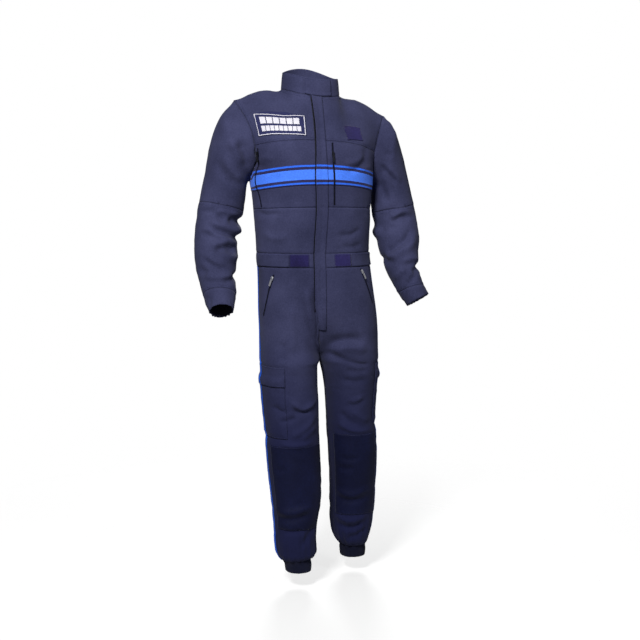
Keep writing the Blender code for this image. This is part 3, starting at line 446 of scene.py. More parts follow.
def press(crease, azimuth, where, mirrored=False):
    """How far one crease moves each point of the skin along its normal, in metres."""
    right, towards = view_axes(azimuth)
    flip = -1 if mirrored else 1
    line = smooth_line([np.array([flip * u, z]) * MM for u, z in crease.line])
    flat = np.stack([base @ right, base[:, 2]], 1)
    reach = FARTHEST * max(crease.above, crease.below) * MM
    low, high = line.min(0) - reach, line.max(0) + reach
    near = np.where(np.all((flat > low) & (flat < high), 1) & (where > 0))[0]
    moved = np.zeros(len(base))
    if not len(near):
        return moved
    start, run = line[:-1], np.diff(line, axis=0)
    length = np.linalg.norm(run, axis=1)
    offset = flat[near][:, None] - start[None]
    along = np.clip((offset * run).sum(2) / (length ** 2), 0, 1)
    gap = offset - along[..., None] * run
    distance = np.linalg.norm(gap, axis=2)
    best = distance.argmin(1)
    rows = np.arange(len(near))
    side = run[best, 0] * gap[rows, best, 1] - run[best, 1] * gap[rows, best, 0]
    side *= np.sign(run[best, 0] + 1e-9)
    width = np.where(side > 0, crease.above, crease.below) * MM
    spread = distance[rows, best] / width
    # A round back with a sharp crest, which is how folded cloth stands.
    shape = 0.6 * np.exp(-spread ** 2) + 0.4 * np.exp(-1.4 * spread)
    share = (best + along[rows, best]) / len(run)
    seed = 0.37 * crease.line[0][0] + 0.11 * crease.line[0][1]
    uneven = np.array([1 + UNEVEN * noise.noise((seed, LUMPS * s, 0)) for s in share])
    ends = smoothstep(0, FADE, share) * smoothstep(0, FADE, 1 - share)
    facing = smoothstep(TURNED_AWAY, IN_VIEW, normals[near] @ towards)
    moved[near] = crease.height * MM * shape * ends * facing * uneven * where[near]
    return moved


# %% Press them all, and similar ones on the back
BACK_VIEW = 165
BACK_SHARE = 0.8            # creases on the back are this much of the front's
GAINS = {"right_sleeve": 1.7, "left_sleeve": 1.7, "right_leg": 1.8, "left_leg": 1.9,
         "trunk": 1.5}
push = np.zeros(len(base))
for name, rows in FRONT_CREASES.items():
    for row in rows:
        gain = GAINS[name]
        push += gain * press(Crease(*row), FRONT_VIEW, ZONES[name])
        if name != "trunk":
            behind = press(Crease(*row), BACK_VIEW, ZONES[name], mirrored=True)
            push += BACK_SHARE * gain * behind
print("creases reach from", round(push.min() / MM, 1), "to", round(push.max() / MM, 1), "mm")

# %% [markdown]
# ## Gathers, seams and small crumples
#
# Elastic draws the wrists and the ankles into small upright pleats, a seam sinks in a little and
# puckers beside its stitches, and all cloth has a faint unevenness. None of these is a line, so
# we make them from distances and from noise.

# %% Gathers at wrists and ankles
Gather = namedtuple("Gather", "node zone pleats depth reach from_top")   # depth, reach: mm
WANDER_ROUND, WANDER_UP = 1.9, 6      # how often pleats drift, round the limb and per metre
GATHERS = [
    Gather("cuff_right", "right_sleeve", 17, 3.4, 60, False),
    Gather("cuff_left", "left_sleeve", 17, 3.4, 60, False),
    Gather("ankle_rib_right", "right_leg", 19, 3.6, 75, True),
    Gather("ankle_rib_left", "left_leg", 19, 3.6, 75, True),
]
for gather in GATHERS:
    low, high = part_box(gather.node)
    middle = (low + high) / 2
    edge = high.z if gather.from_top else low.z
    swing = np.arctan2(base[:, 1] - middle.y, base[:, 0] - middle.x)
    rise = (base[:, 2] - edge) / MM
    fade = np.exp(-(np.maximum(rise, 0) / gather.reach) ** 2) * smoothstep(0, 8, rise + 4)
    wander = np.array([noise.noise((WANDER_ROUND * math.cos(a), WANDER_ROUND * math.sin(a),
                                    WANDER_UP * p[2]))
                       for a, p in zip(swing, base)])
    pleat = np.cos(gather.pleats * swing + 5 * wander) * (0.7 + 0.9 * wander)
    push += gather.depth * MM * pleat * fade * ZONES[gather.zone]

# %% Seams and crumples
SEAM_SINK, SEAM_WIDTH, SEAM_WELT = 0.7 * MM, 3.5 * MM, 0.4 * MM
PUCKER, PUCKER_LENGTH = 0.45 * MM, 7 * MM
LOW_FADE, HIGH_FADE = (0.03, 0.02), (0.04, 0.03)   # metres before and after a limit
PATCHES = 7                 # per metre: some places are smooth and others crumpled
Wrinkle = namedtuple("Wrinkle", "zone depth wide tall low high")   # depth in mm, rest in metres
WRINKLES = [
    Wrinkle("right_sleeve", 4.5, 0.080, 0.034, -0.62, -0.33),
    Wrinkle("right_sleeve", 3.6, 0.045, 0.018, -0.62, -0.30),
    Wrinkle("right_sleeve", 2.8, 0.045, 0.070, -0.34, -0.05),
    Wrinkle("right_sleeve", 1.6, 0.030, 0.040, -0.34, -0.05),
    Wrinkle("left_sleeve", 4.5, 0.080, 0.034, -0.62, -0.34),
    Wrinkle("left_sleeve", 4.0, 0.045, 0.018, -0.62, -0.30),
    Wrinkle("left_sleeve", 3.4, 0.045, 0.060, -0.34, -0.05),
    Wrinkle("left_sleeve", 2.0, 0.030, 0.036, -0.34, -0.05),
    Wrinkle("right_leg", 2.2, 0.090, 0.034, -1.05, -0.80),
    Wrinkle("right_leg", 2.6, 0.080, 0.036, -1.40, -1.18),
    Wrinkle("right_leg", 2.6, 0.050, 0.019, -1.40, -0.78),
    Wrinkle("right_leg", 2.2, 0.055, 0.030, -1.20, -1.02),
    Wrinkle("left_leg", 2.6, 0.085, 0.032, -1.05, -0.72),
    Wrinkle("left_leg", 3.0, 0.080, 0.036, -1.40, -1.15),
    Wrinkle("left_leg", 3.2, 0.050, 0.019, -1.40, -0.66),
    Wrinkle("left_leg", 2.6, 0.055, 0.030, -1.20, -1.00),
    Wrinkle("trunk", 2.2, 0.045, 0.070, -0.80, 0.05),
    Wrinkle("trunk", 1.8, 0.070, 0.030, -0.80, -0.30),
    Wrinkle("trunk", 1.2, 0.040, 0.018, -0.80, -0.22),
]


def wrinkled(point, kind):
    """Noise with soft ridges, longer across a limb than along it."""
    here = Vector((point[0] / kind.wide, point[1] / kind.wide,
                   (point[2] + 0.25 * point[0]) / kind.tall))
    ridges = 0.35 - abs(noise.noise(here))
    return 0.6 * ridges + 0.4 * noise.noise(0.6 * here + Vector((7, 3, 1)))


push += SEAM_WELT * np.exp(-((seam_distance - 2 * SEAM_WIDTH) / SEAM_WIDTH) ** 2)
push -= SEAM_SINK * np.exp(-(seam_distance / SEAM_WIDTH) ** 2)
pucker = np.array([noise.noise(Vector(p) / PUCKER_LENGTH) for p in base])
push += PUCKER * pucker * np.exp(-(seam_distance / (4 * SEAM_WIDTH)) ** 2)
for kind in WRINKLES:
    height = base[:, 2]
    fade = smoothstep(kind.low - LOW_FADE[0], kind.low + LOW_FADE[1], height)
    fade *= 1 - smoothstep(kind.high - HIGH_FADE[0], kind.high + HIGH_FADE[1], height)
    inside = np.where(ZONES[kind.zone] * fade > 0)[0]
    patchy = [0.4 + 1.6 * abs(noise.noise(Vector(base[k]) * PATCHES + Vector((3, 1, 4))))
              for k in inside]
    push[inside] += [MM * kind.depth * fade[k] * share * wrinkled(base[k], kind)
                     for share, k in zip(patchy, inside)]

# %% Keep the cloth still under the metal sliders
QUIET = 26 * MM             # the cloth is still within a third of this, and free past it
CREASE_LIMIT = 12 * MM      # where creases meet they add up, and this keeps them from a spike
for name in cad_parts:
    if "slider" in name:
        low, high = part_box(name)
        away = np.linalg.norm(base - np.array((low + high) / 2), axis=1)
        push *= smoothstep(0.35 * QUIET, QUIET, away)
push = CREASE_LIMIT * np.tanh(push / CREASE_LIMIT)
inside_rim = near_to(base, rim) > 3 * MM
worn = eased(base + normals * push[:, None], LAST_EASE * inside_rim, LAST_ROUNDS)
print("push:", round(push.min() / MM, 1), "to", round(push.max() / MM, 1), "mm")

# %% [markdown]
# ## From the base to the worn cloth
#
# Trims have to follow every crease. For any point near the smooth base we find the face it lies
# on, and read off where that spot of cloth has moved to and which way it now faces.

# %% Find where a point of the base has gone
faces = [[v.index for v in face.verts] for face in skin.faces]
for vertex, point in zip(skin.verts, worn):
    vertex.co = point
skin.normal_update()
worn_normals = np.array([v.normal for v in skin.verts])
base_tree = BVHTree.FromPolygons([Vector(p) for p in base], faces)


def on_cloth(point):
    """(place, outward normal) on the worn cloth of the spot nearest to a point of the base."""
    place, _, index, _ = base_tree.find_nearest(point)
    ring = faces[index]
    shares = poly_3d_calc([Vector(base[k]) for k in ring], place)
    spot = sum((s * Vector(worn[k]) for s, k in zip(shares, ring)), Vector())
    facing = sum((s * Vector(worn_normals[k]) for s, k in zip(shares, ring)), Vector())
    return spot, facing.normalized()


# %% [markdown]
# ## Materials
#
# Every cloth here is dyed fibre, so it is a matt dielectric with a little sheen. One function
# turns hex colours to linear, and one adds a node with its settings and links.

# %% Helpers for materials
def linear(code, alpha=1):
    """A linear colour from an sRGB hex code."""
    parts = [int(code[k:k + 2], 16) / 255 for k in (1, 3, 5)]
    return (*[c / 12.92 if c <= 0.04045 else ((c + 0.055) / 1.055) ** 2.4 for c in parts], alpha)


def node(tree, kind, links=None, **settings):
    """Add a node; links maps an input to an output socket or a plain value."""
    made = tree.nodes.new(kind)
    for name, value in settings.items():
        setattr(made, name, value)
    for name, value in (links or {}).items():
        if isinstance(value, bpy.types.NodeSocket):
            tree.links.new(value, made.inputs[name])
        else:
            made.inputs[name].default_value = value
    return made


def ramp(tree, fac, *stops, blend="LINEAR"):
    """A colour ramp from (position, hex code) pairs."""
    made = node(tree, "ShaderNodeValToRGB", {"Fac": fac})
    made.color_ramp.interpolation = blend
    elements = made.color_ramp.elements
    while len(elements) < len(stops):
        elements.new(0.5)
    for element, (position, code) in zip(elements, stops):
        element.position, element.color = position, linear(code)
    return made.outputs["Color"]


CLOTH_SHINE = 0.12          # fibres scatter: cloth mirrors far less than a smooth solid
SHEEN_ROUGHNESS = 0.5


def new_material(name, roughness, sheen=0.0, metallic=0.0):
    """A material with its node tree and its shader."""
    material = bpy.data.materials.new(name)
    material.use_nodes = True
    shader = material.node_tree.nodes["Principled BSDF"]
    shader.inputs["Roughness"].default_value = roughness
    shader.inputs["Metallic"].default_value = metallic
    shader.inputs["Sheen Weight"].default_value = sheen
    shader.inputs["Sheen Roughness"].default_value = SHEEN_ROUGHNESS
    if not metallic:
        shader.inputs["Specular IOR Level"].default_value = CLOTH_SHINE
    return material, material.node_tree, shader


# %% Woven cloth
WEAR, FLECK, TAPE_FLECK, SCRATCH = 9, 260, 400, 900   # per metre: patches of 110 mm down to 1 mm
WEAR_AND_FLECK = 0.35       # how much of the mix is fleck
TWILL_TURN = (0.6, 0.9, 0.4)          # the twill line slants
PAINTED_SHADE_TOP, PAINTED_SHADE_BOTTOM = -0.70, -1.06  # heights between which painted shade darkens the trousers
THREAD_DEPTH = 0.3 * MM


def woven(name, dark, middle, light, thread_mm, roughness=0.9, sheen=0.03, relief=0.25,
          low_painted_shade=None):
    """Dyed cloth: threads at an angle, patches of wear, a fine fleck, and optional painted shade
    lower down.
    """
    material, tree, shader = new_material(name, roughness, sheen)
    place = node(tree, "ShaderNodeTexCoord").outputs["Object"]
    wear = node(tree, "ShaderNodeTexNoise", {"Vector": place, "Scale": WEAR, "Detail": 4})
    fleck = node(tree, "ShaderNodeTexNoise", {"Vector": place, "Scale": FLECK, "Detail": 2})
    both = node(tree, "ShaderNodeMix", {0: WEAR_AND_FLECK, 2: wear.outputs["Fac"],
                                        3: fleck.outputs["Fac"]}, data_type="FLOAT")
    colour = ramp(tree, both.outputs[0], (0.36, dark), (0.5, middle), (0.66, light))
    # Painted shade: the colour grows darker towards the ankles, where less light falls.
    if low_painted_shade:
        height = node(tree, "ShaderNodeSeparateXYZ", {"Vector": place}).outputs["Z"]
        share = node(tree, "ShaderNodeMapRange", {"Value": height, "From Min": PAINTED_SHADE_TOP,
                                                  "From Max": PAINTED_SHADE_BOTTOM})
        shaded_low = node(tree, "ShaderNodeMix", {0: share.outputs["Result"], 6: colour,
                                              7: linear(low_painted_shade)}, data_type="RGBA")
        colour = shaded_low.outputs[2]
    tree.links.new(colour, shader.inputs["Base Color"])
    scale = 1000 / thread_mm / (2 * math.pi)
    turned = node(tree, "ShaderNodeMapping", {"Vector": place, "Rotation": TWILL_TURN})
    twill = node(tree, "ShaderNodeTexWave", {"Vector": turned.outputs["Vector"], "Scale": scale,
                                             "Distortion": 0.6, "Detail": 1})
    weave = node(tree, "ShaderNodeMix", {0: 0.5, 2: twill.outputs["Fac"],
                                         3: fleck.outputs["Fac"]}, data_type="FLOAT")
    bump = node(tree, "ShaderNodeBump", {"Height": weave.outputs[0], "Strength": relief,
                                         "Distance": THREAD_DEPTH})
    tree.links.new(bump.outputs["Normal"], shader.inputs["Normal"])
    return material


# Thread spacings, in mm, are two to four times the real ones, so that they show.
# Polycotton twill, piece dyed: matt navy, a faint slanting grain, painted shade down the legs.
NAVY_TWILL = woven("navy_polycotton_twill", "#292b45", "#31334f", "#3a3c5a", 1.6,
                   low_painted_shade="#171a3a")
# Tightly woven polyamide, coated against wear: nearly black, with a dull, even shine.
KNEE_CLOTH = woven("navy_knee_cloth", "#090c26", "#0c102d", "#121739", 2.2, 0.7, 0.02)
# Brushed nylon loops, the soft half of a hook-and-loop tape: violet navy, rough, a soft rim.
LOOP_PILE = woven("loop_pile", "#171338", "#1f1b47", "#2a2558", 2.4, 0.95, 0.15, 0.8)
# Woven polyester tape of a zip: flat and dark, a little smoother than the twill.
ZIP_TAPE = woven("zip_tape_polyester", "#14152b", "#191b34", "#20223e", 1.2, 0.8, 0.02)
# Moulded nylon coil: almost black, with the smoothness of a hard plastic.
ZIP_COIL = woven("zip_coil_nylon", "#06070f", "#090a15", "#0e101d", 1.2, 0.5, 0.0)
# Cotton rib knit: soft and very matt; its ribs are in the mesh, and only its loops are here.
RIB_KNIT = woven("rib_knit_cotton", "#090b1e", "#0e1126", "#141730", 2.0, 0.95, 0.06, 0.5)
# Flat-braided polyester: a bright blue with the slight gloss of long, smooth fibres.
BRAID = woven("blue_braid_polyester", "#0a44a8", "#0c50c4", "#1a61dd", 1.5, 0.6, 0.05, 0.4)
# Spun polyester sewing thread: close to the cloth's navy, so the rows only just show.
THREAD = woven("sewing_thread", "#20223f", "#2c2f50", "#3a3d62", 0.6, 0.6, 0.02)
# Rayon embroidery, densely stitched: an off-white that catches more light than anything else.
WHITE_EMBROIDERY = woven("white_embroidery", "#aeacb6", "#c2c0c9", "#d2d0d8", 0.9, 0.8, 0.02, 0.6)
# Twill that backs the badge, dyed a flatter and bluer navy than the garment.
BADGE_CLOTH = woven("badge_twill", "#1d1f40", "#25274b", "#2e3056", 1.2)

# %% Striped tape and metal
TAPE_STRIPES = [(0.0, "#2b2a55"), (0.045, "#2f6cf0"), (0.13, "#2b2a55"), (0.26, "#4a82ff"),
                (0.74, "#2b2a55"), (0.87, "#2f6cf0"), (0.955, "#2b2a55")]


def striped_tape():
    """Woven tape whose stripes follow the share across it, kept on the mesh as `up`."""
    material, tree, shader = new_material("striped_tape_polyester", 0.55, 0.1)
    up = node(tree, "ShaderNodeAttribute", attribute_name="up").outputs["Fac"]
    bands = ramp(tree, up, *TAPE_STRIPES, blend="CONSTANT")
    place = node(tree, "ShaderNodeTexCoord").outputs["Object"]
    fleck = node(tree, "ShaderNodeTexNoise", {"Vector": place, "Scale": TAPE_FLECK, "Detail": 2})
    shade = ramp(tree, fleck.outputs["Fac"], (0.3, "#d8d8d8"), (0.7, "#ffffff"))
    mixed = node(tree, "ShaderNodeMix", {0: 1.0, 6: bands, 7: shade},
                 data_type="RGBA", blend_type="MULTIPLY")
    tree.links.new(mixed.outputs[2], shader.inputs["Base Color"])
    bump = node(tree, "ShaderNodeBump", {"Height": fleck.outputs["Fac"], "Strength": 0.3,
                                         "Distance": 0.2 * MM})
    tree.links.new(bump.outputs["Normal"], shader.inputs["Normal"])
    return material


def plated_metal(name, dark, light):
    """Plated zinc, die cast, with soft scratches."""
    material, tree, shader = new_material(name, 0.32, metallic=1.0)
    place = node(tree, "ShaderNodeTexCoord").outputs["Object"]
    scratch = node(tree, "ShaderNodeTexNoise", {"Vector": place, "Scale": SCRATCH, "Detail": 3})
    tree.links.new(ramp(tree, scratch.outputs["Fac"], (0.3, dark), (0.7, light)),
                   shader.inputs["Base Color"])
    rough = node(tree, "ShaderNodeMapRange", {"Value": scratch.outputs["Fac"], "To Min": 0.38,
                                              "To Max": 0.55})
    tree.links.new(rough.outputs["Result"], shader.inputs["Roughness"])
    return material


# Woven polyester tape, printed in stripes: saturated blues, smoother than the cloth under it.
STRIPED_TAPE = striped_tape()
# Die-cast zinc with nickel on it: a pale metal, satin rather than bright.
BRIGHT_METAL = plated_metal("nickel_plated_zinc", "#c9cbd1", "#eeeff2")
# The same casting in a black finish: it only glints.
DARK_METAL = plated_metal("black_plated_zinc", "#1d1e24", "#34353d")
print("materials:", len(bpy.data.materials))

# %% Make the panels
PLY, COLLAR_WALL = 0.9 * MM, 1.8 * MM
pieces = {}


def finish_piece(name, material, stands_for=(), body=CLOTH_BODY, wall=None):
    """Smooth shading, a wall, a material and a body for a piece."""
    thing = pieces[name]
    thing.data.materials.clear()
    thing.data.materials.append(material)
    thing.data.polygons.foreach_set("material_index", [0] * len(thing.data.polygons))
    thing.data.shade_smooth()
    if wall:
        solid = thing.modifiers.new("wall", "SOLIDIFY")
        solid.thickness, solid.offset = wall, -1
    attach(thing, body)
    if stands_for:
        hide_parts(*stands_for)
    return thing


skin_data = bpy.data.meshes.new("skin")
skin.to_mesh(skin_data)
total = 0
for index, panel in enumerate(PANELS):
    part = bmesh.new()
    part.from_mesh(skin_data)
    rest = [face for face in part.faces if face.material_index != index]
    bmesh.ops.delete(part, geom=rest, context="FACES")
    pieces[panel] = add_mesh(panel + "_cloth", part)
    wall = COLLAR_WALL if panel == "collar" else PLY
    thing = finish_piece(panel, NAVY_TWILL, [panel], wall=wall)
    total += len(thing.data.polygons)
print("panels:", len(PANELS), "with", total, "faces")

# %% [markdown]
# ## Laying trims on the cloth
#
# A trim is first rounded off like the panels, and then each of its points is moved to the worn
# cloth. We look down on everything laid before, so that a flap rides over its pocket and a zip
# over the tape, and add the trim's own lift.

# %% Shares across and up a trim
STEEP = 0.7                 # a border faces up or down when its outward z is past this


def border_trees(mesh):
    """A search tree for each of a sheet's four borders."""
    sides = {name: [] for name in ("low", "high", "left", "right")}
    for edge in mesh.edges:
        if not edge.is_boundary:
            continue
        middle = (edge.verts[0].co + edge.verts[1].co) / 2
        face = edge.link_faces[0]
        out = middle - face.calc_center_median()
        along = edge.verts[1].co - edge.verts[0].co
        out -= along * (out.dot(along) / along.length_squared)
        out.normalize()
        side = Vector((0, 0, 1)).cross(face.normal)
        if abs(out.z) > STEEP:
            name = "high" if out.z > 0 else "low"
        else:
            name = "right" if out.dot(side) > 0 else "left"
        sides[name] += [edge.verts[0].co.copy(), middle, edge.verts[1].co.copy()]
    return {name: search_tree(points) for name, points in sides.items() if points}


def shares(mesh):
    """For each vertex: the share across and up, and the distance to the nearest border."""
    trees = border_trees(mesh)
    result = []
    for vertex in mesh.verts:
        gaps = {name: tree.find(vertex.co)[2] for name, tree in trees.items()}
        left, right = gaps.get("left", 1), gaps.get("right", 1)
        low, high = gaps.get("low", 1), gaps.get("high", 1)
        result.append((left / max(left + right, 1e-9), low / max(low + high, 1e-9),
                       min(gaps.values())))
    return result


# %% Lay one trim
LOOK_FROM = 30 * MM


def tree_over(names):
    """One search tree over the finished pieces of these names."""
    points, rings = [], []
    for name in names:
        data = pieces[name].data
        first = len(points)
        points += [v.co.copy() for v in data.vertices]
        rings += [[first + k for k in polygon.vertices] for polygon in data.polygons]
    return BVHTree.FromPolygons(points, rings) if rings else None


def lay(node_name, lift, over=(), finest=4 * MM, levels=2, wall=PLY, shape=None,
        shift=0, covered=0):
    """Round off a trim's sheet and lay it on the cloth, or on the pieces already there.

    lift is in metres; shape may add to it, from (across, up, to the border).
    shift moves it sideways, and covered is the share of its width that each lip hides.
    """
    sheet, area = outer_sheet(node_name)
    fine = rounded(sheet, node_name, levels, finest)
    fine.normal_update()
    tree = tree_over(over)
    facts = shares(fine)
    if covered:
        seen = [covered <= fact[0] <= 1 - covered for fact in facts]
        hidden = [v for v, is_seen in zip(fine.verts, seen) if not is_seen]
        bmesh.ops.delete(fine, geom=hidden, context="VERTS")
        facts = [fact for fact, is_seen in zip(facts, seen) if is_seen]
    bmesh.ops.translate(fine, verts=fine.verts[:], vec=(shift, 0, 0))
    spots = [on_cloth(vertex.co) for vertex in fine.verts]
    heights = []
    for (spot, facing), fact in zip(spots, facts):
        height = 0.0
        if tree:
            hit = tree.ray_cast(spot + facing * LOOK_FROM, -facing, LOOK_FROM)[3]
            height = max(0.0, LOOK_FROM - hit) if hit is not None else 0.0
        heights.append(height + lift + (shape(*fact) if shape else 0))
    fine.verts.ensure_lookup_table()
    for _ in range(2):
        heights = [max(h, sum(heights[e.other_vert(v).index] for e in v.link_edges)
                       / len(v.link_edges)) for v, h in zip(fine.verts, heights)]
    for vertex, (spot, facing), height in zip(fine.verts, spots, heights):
        vertex.co = spot + facing * height
    pieces[node_name] = add_mesh(node_name + "_cloth", fine)
    for name, column in (("across", 0), ("up", 1)):
        layer = pieces[node_name].data.attributes.new(name, "FLOAT", "POINT")
        layer.data.foreach_set("value", [fact[column] for fact in facts])
    cut_area[node_name] = area


def trim(node_name, material, slot_name, lift, **settings):
    """Lay a trim, its lift in mm, finish it and declare its cut."""
    wall = settings.get("wall", PLY)
    lay(node_name, lift * MM, **settings)
    thing = finish_piece(node_name, material, [node_name], wall=wall)


# %% [markdown]
# ## Tapes, patches and straps
#
# These lie flat, one ply above the panel. The striped tape crosses the chest below the yoke
# seam, and goes on round the back.

# %% Lay the flat trims
for side in ("right", "left"):
    trim(f"chest_tape_{side}", STRIPED_TAPE, "striped_tape", 1.3)
    trim(f"knee_patch_{side}", KNEE_CLOTH, "knee_cloth", 1.3, finest=6 * MM)
    trim(f"waist_loop_{side}", LOOP_PILE, "loop_pile", 1.3)
trim("back_tape", STRIPED_TAPE, "striped_tape", 1.3)
trim("rank_loop", LOOP_PILE, "loop_pile", 1.6)
trim("chest_badge", BADGE_CLOTH, "badge", 1.6, levels=1)
for side in ("right", "left"):
    trim(f"waist_tab_{side}", NAVY_TWILL, "navy_twill", 2.2, wall=1.6 * MM,
         shape=lambda across, up, border: 0.8 * MM * math.sin(9 * across))
print("pieces so far:", len(pieces))

# %% [markdown]
# ## The front closure
#
# A storm flap hides the front zip. It is sewn down on the wearer's left and free on the
# right, so it stands off there and throws a shadow, and it buckles a little below the waist. The
# zip is set out sideways and made near black, so it shows beside the flap as painted shade.

# %% Front zip, storm flap and collar tab
def flap_shape(across, up, border):
    """Free on the wearer's right, a slow wave down it, and small ripples below the waist."""
    free = (1 - across) ** 2
    ladder = 0.5 * math.sin(95 * up) * math.exp(-((across - 0.75) / 0.2) ** 2)
    return (4.6 * free + 0.8 * free * math.sin(23 * up) + ladder * float(up < 0.45)) * MM


ZIP_SHADE_SHIFT = -11 * MM         # painted shade: the near-black zip shows beside the flap as its shadow gap
# Its tape is the near-black coil: a dark strip of painted shade in the gap beside the flap.
trim("front_zip", ZIP_COIL, "zip_tape", 1.3, shift=ZIP_SHADE_SHIFT)
trim("storm_flap", NAVY_TWILL, "navy_twill", 2.9, over=["chest_tape_right", "chest_tape_left"],
     wall=1.7 * MM, shape=flap_shape)
trim("flap_tape", STRIPED_TAPE, "striped_tape", 0.9, over=["storm_flap"], wall=0.8 * MM)
trim("collar_tab", NAVY_TWILL, "navy_twill", 2.6, wall=1.7 * MM, finest=3 * MM,
     shape=lambda across, up, border: 2.2 * MM * max(0, 1 - 2.5 * across) ** 2)

# %% [markdown]
# ## Pockets and braid
#
# The bellows pockets stand off the thigh, with soft edges. Their flaps lie over them, and the
# blue braid runs down the side seam over both.

# %% Lay pockets, flaps and braid
POCKET_SWELL, POCKET_EDGE = 3.5 * MM, 15 * MM


def pocket_shape(across, up, border):
    """Full in the middle, flat at the sewn edges."""
    crumpled = 1.2 * MM * noise.noise((9 * across, 9 * up, 2))
    return (POCKET_SWELL + crumpled) * float(smoothstep(0, POCKET_EDGE, border))


def pocket_flap_shape(across, up, border):
    """Sewn down at the top, and standing off a little at its free lower edge."""
    return 1.5 * MM * (1 - up) * float(smoothstep(0, 12 * MM, border))


for side in ("right", "left"):
    pocket, flap = f"cargo_pocket_{side}", f"cargo_flap_{side}"
    trim(pocket, NAVY_TWILL, "navy_twill", 1.6, shape=pocket_shape, finest=5 * MM)
    trim(flap, NAVY_TWILL, "navy_twill", 2.8, over=[pocket], wall=1.8 * MM,
         shape=pocket_flap_shape)
    trim(f"side_braid_{side}", BRAID, "blue_braid", 1.4,
         over=[pocket, flap, f"knee_patch_{side}"])

# %% Lay the pocket zips
ZIP_OVER = {"chest_zip_right": ["chest_tape_right"], "chest_zip_left": ["chest_tape_left"],
            "hip_zip_right": [], "hip_zip_left": []}
for name, over in ZIP_OVER.items():
    trim(name, ZIP_TAPE, "zip_tape", 1.2, over=over, finest=2.5 * MM, wall=0.8 * MM,
         covered=0.2)

# %% [markdown]
# ## Rib knit at the ankles
#
# A rib knit has upright ridges about 3 mm apart. They are too fine for the skin, so each ankle
# is its own tube, and its ridges come from the angle round it.

# %% Knit the ankle ribs
RIBS_ROUND, RIB_DEPTH = 62, 0.6 * MM
RIB_SLACK, RIB_DRIFT = 2.2 * MM, 0.8 * MM
for side in ("right", "left"):
    name = f"ankle_rib_{side}"
    sheet, cut_area[name] = outer_sheet(name)
    tube = rounded(sheet, name, 4, 20 * MM)
    low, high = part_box(name)
    middle = (low + high) / 2
    tube.normal_update()
    for vertex in tube.verts:
        swing = math.atan2(vertex.co.y - middle.y, vertex.co.x - middle.x)
        share = (vertex.co.z - low.z) / (high.z - low.z)
        slack = RIB_SLACK * math.sin(math.pi * share) + RIB_DRIFT * noise.noise(vertex.co * 40)
        vertex.co += vertex.normal * (RIB_DEPTH * math.cos(RIBS_ROUND * swing) + slack)
    pieces[name] = add_mesh(name + "_knit", tube)
    thing = finish_piece(name, RIB_KNIT, [name], wall=2.4 * MM)
    print(name, len(thing.data.polygons), "faces")

# %% [markdown]
# ## The badge's border and blocks
#
# The badge is a navy patch with a white border and two rows of plain white blocks. They are
# embroidery, a little proud of the patch, so each is a small grid laid on it.

# %% Embroider the badge
BORDER = 0.018              # width of the border, as a share of the badge's width
BlockRow = namedtuple("BlockRow", "low high count left right gap")   # shares of the badge
BLOCK_ROWS = [BlockRow(0.52, 0.84, 6, 0.10, 0.90, 0.016),
              BlockRow(0.17, 0.42, 9, 0.10, 0.92, 0.011)]

badge_data = pieces["chest_badge"].data
badge_shares = np.zeros((2, len(badge_data.vertices)))
for row, name in enumerate(("across", "up")):
    badge_data.attributes[name].data.foreach_get("value", badge_shares[row])
corner_ids = [int(np.argmin((badge_shares[0] - a) ** 2 + (badge_shares[1] - u) ** 2))
              for a, u in ((0, 0), (1, 0), (1, 1), (0, 1))]
corners = [badge_data.vertices[k].co.copy() for k in corner_ids]
badge_over = tree_over(["chest_badge"])
badge_out = sum((v.normal for v in badge_data.vertices), Vector()).normalized()


def stitch_block(mesh, left, right, low, high, rise=0.9 * MM, step=1.5 * MM):
    """A small raised block of embroidery between shares of the badge."""
    def place(across, up):
        bottom = corners[0].lerp(corners[1], across)
        top = corners[3].lerp(corners[2], across)
        point = bottom.lerp(top, up)
        hit = badge_over.ray_cast(point + badge_out * LOOK_FROM, -badge_out)[0]
        return (hit or badge_over.find_nearest(point)[0]) + badge_out * rise
    wide = (corners[1] - corners[0]).length * (right - left)
    tall = (corners[3] - corners[0]).length * (high - low)
    made = bmesh.ops.create_grid(mesh, x_segments=max(1, round(wide / step)),
                                 y_segments=max(1, round(tall / step)), size=0.5)
    for vertex in made["verts"]:
        vertex.co = place(left + (right - left) * (vertex.co.x + 0.5),
                          low + (high - low) * (vertex.co.y + 0.5))


embroidery = bmesh.new()
tall_border = BORDER * (corners[1] - corners[0]).length / (corners[3] - corners[0]).length
for strip in ((0.005, 0.995, 0.01, 0.01 + tall_border), (0.005, 0.995, 0.99 - tall_border, 0.99),
              (0.005, 0.005 + BORDER, 0.01, 0.99), (0.995 - BORDER, 0.995, 0.01, 0.99)):
    stitch_block(embroidery, *strip)
for row in BLOCK_ROWS:
    pitch = (row.right - row.left) / row.count
    for k in range(row.count):
        start = row.left + k * pitch
        stitch_block(embroidery, start, start + pitch - row.gap, row.low, row.high)
pieces["badge_embroidery"] = add_mesh("badge_embroidery", embroidery)
thing = finish_piece("badge_embroidery", WHITE_EMBROIDERY, wall=0.7 * MM)
print("embroidery:", len(thing.data.polygons), "faces")

# %% [markdown]
# ## Zip teeth
#
# A nylon coil shows as a row of small teeth down the middle of its tape. One tooth is a small
# block, and a loop sets it along the line.

# %% Set the teeth
TOOTH_PITCH, TOOTH_SIZE = 1.8 * MM, (2.6 * MM, 1.2 * MM, 0.9 * MM)
TOOTH_RISE = 0.3 * MM
MIDDLE_BAND = 0.06          # how far from the middle a point may lie, as a share of the width


def middle_line(name):
    """Points down the middle of a trim from top to bottom, with their normals."""
    data = pieces[name].data
    across = np.zeros(len(data.vertices))
    data.attributes["across"].data.foreach_get("value", across)
    ids = [k for k in range(len(across)) if abs(across[k] - 0.5) < MIDDLE_BAND]
    ids.sort(key=lambda k: -data.vertices[k].co.z)
    return [(data.vertices[k].co.copy(), data.vertices[k].normal.copy()) for k in ids]


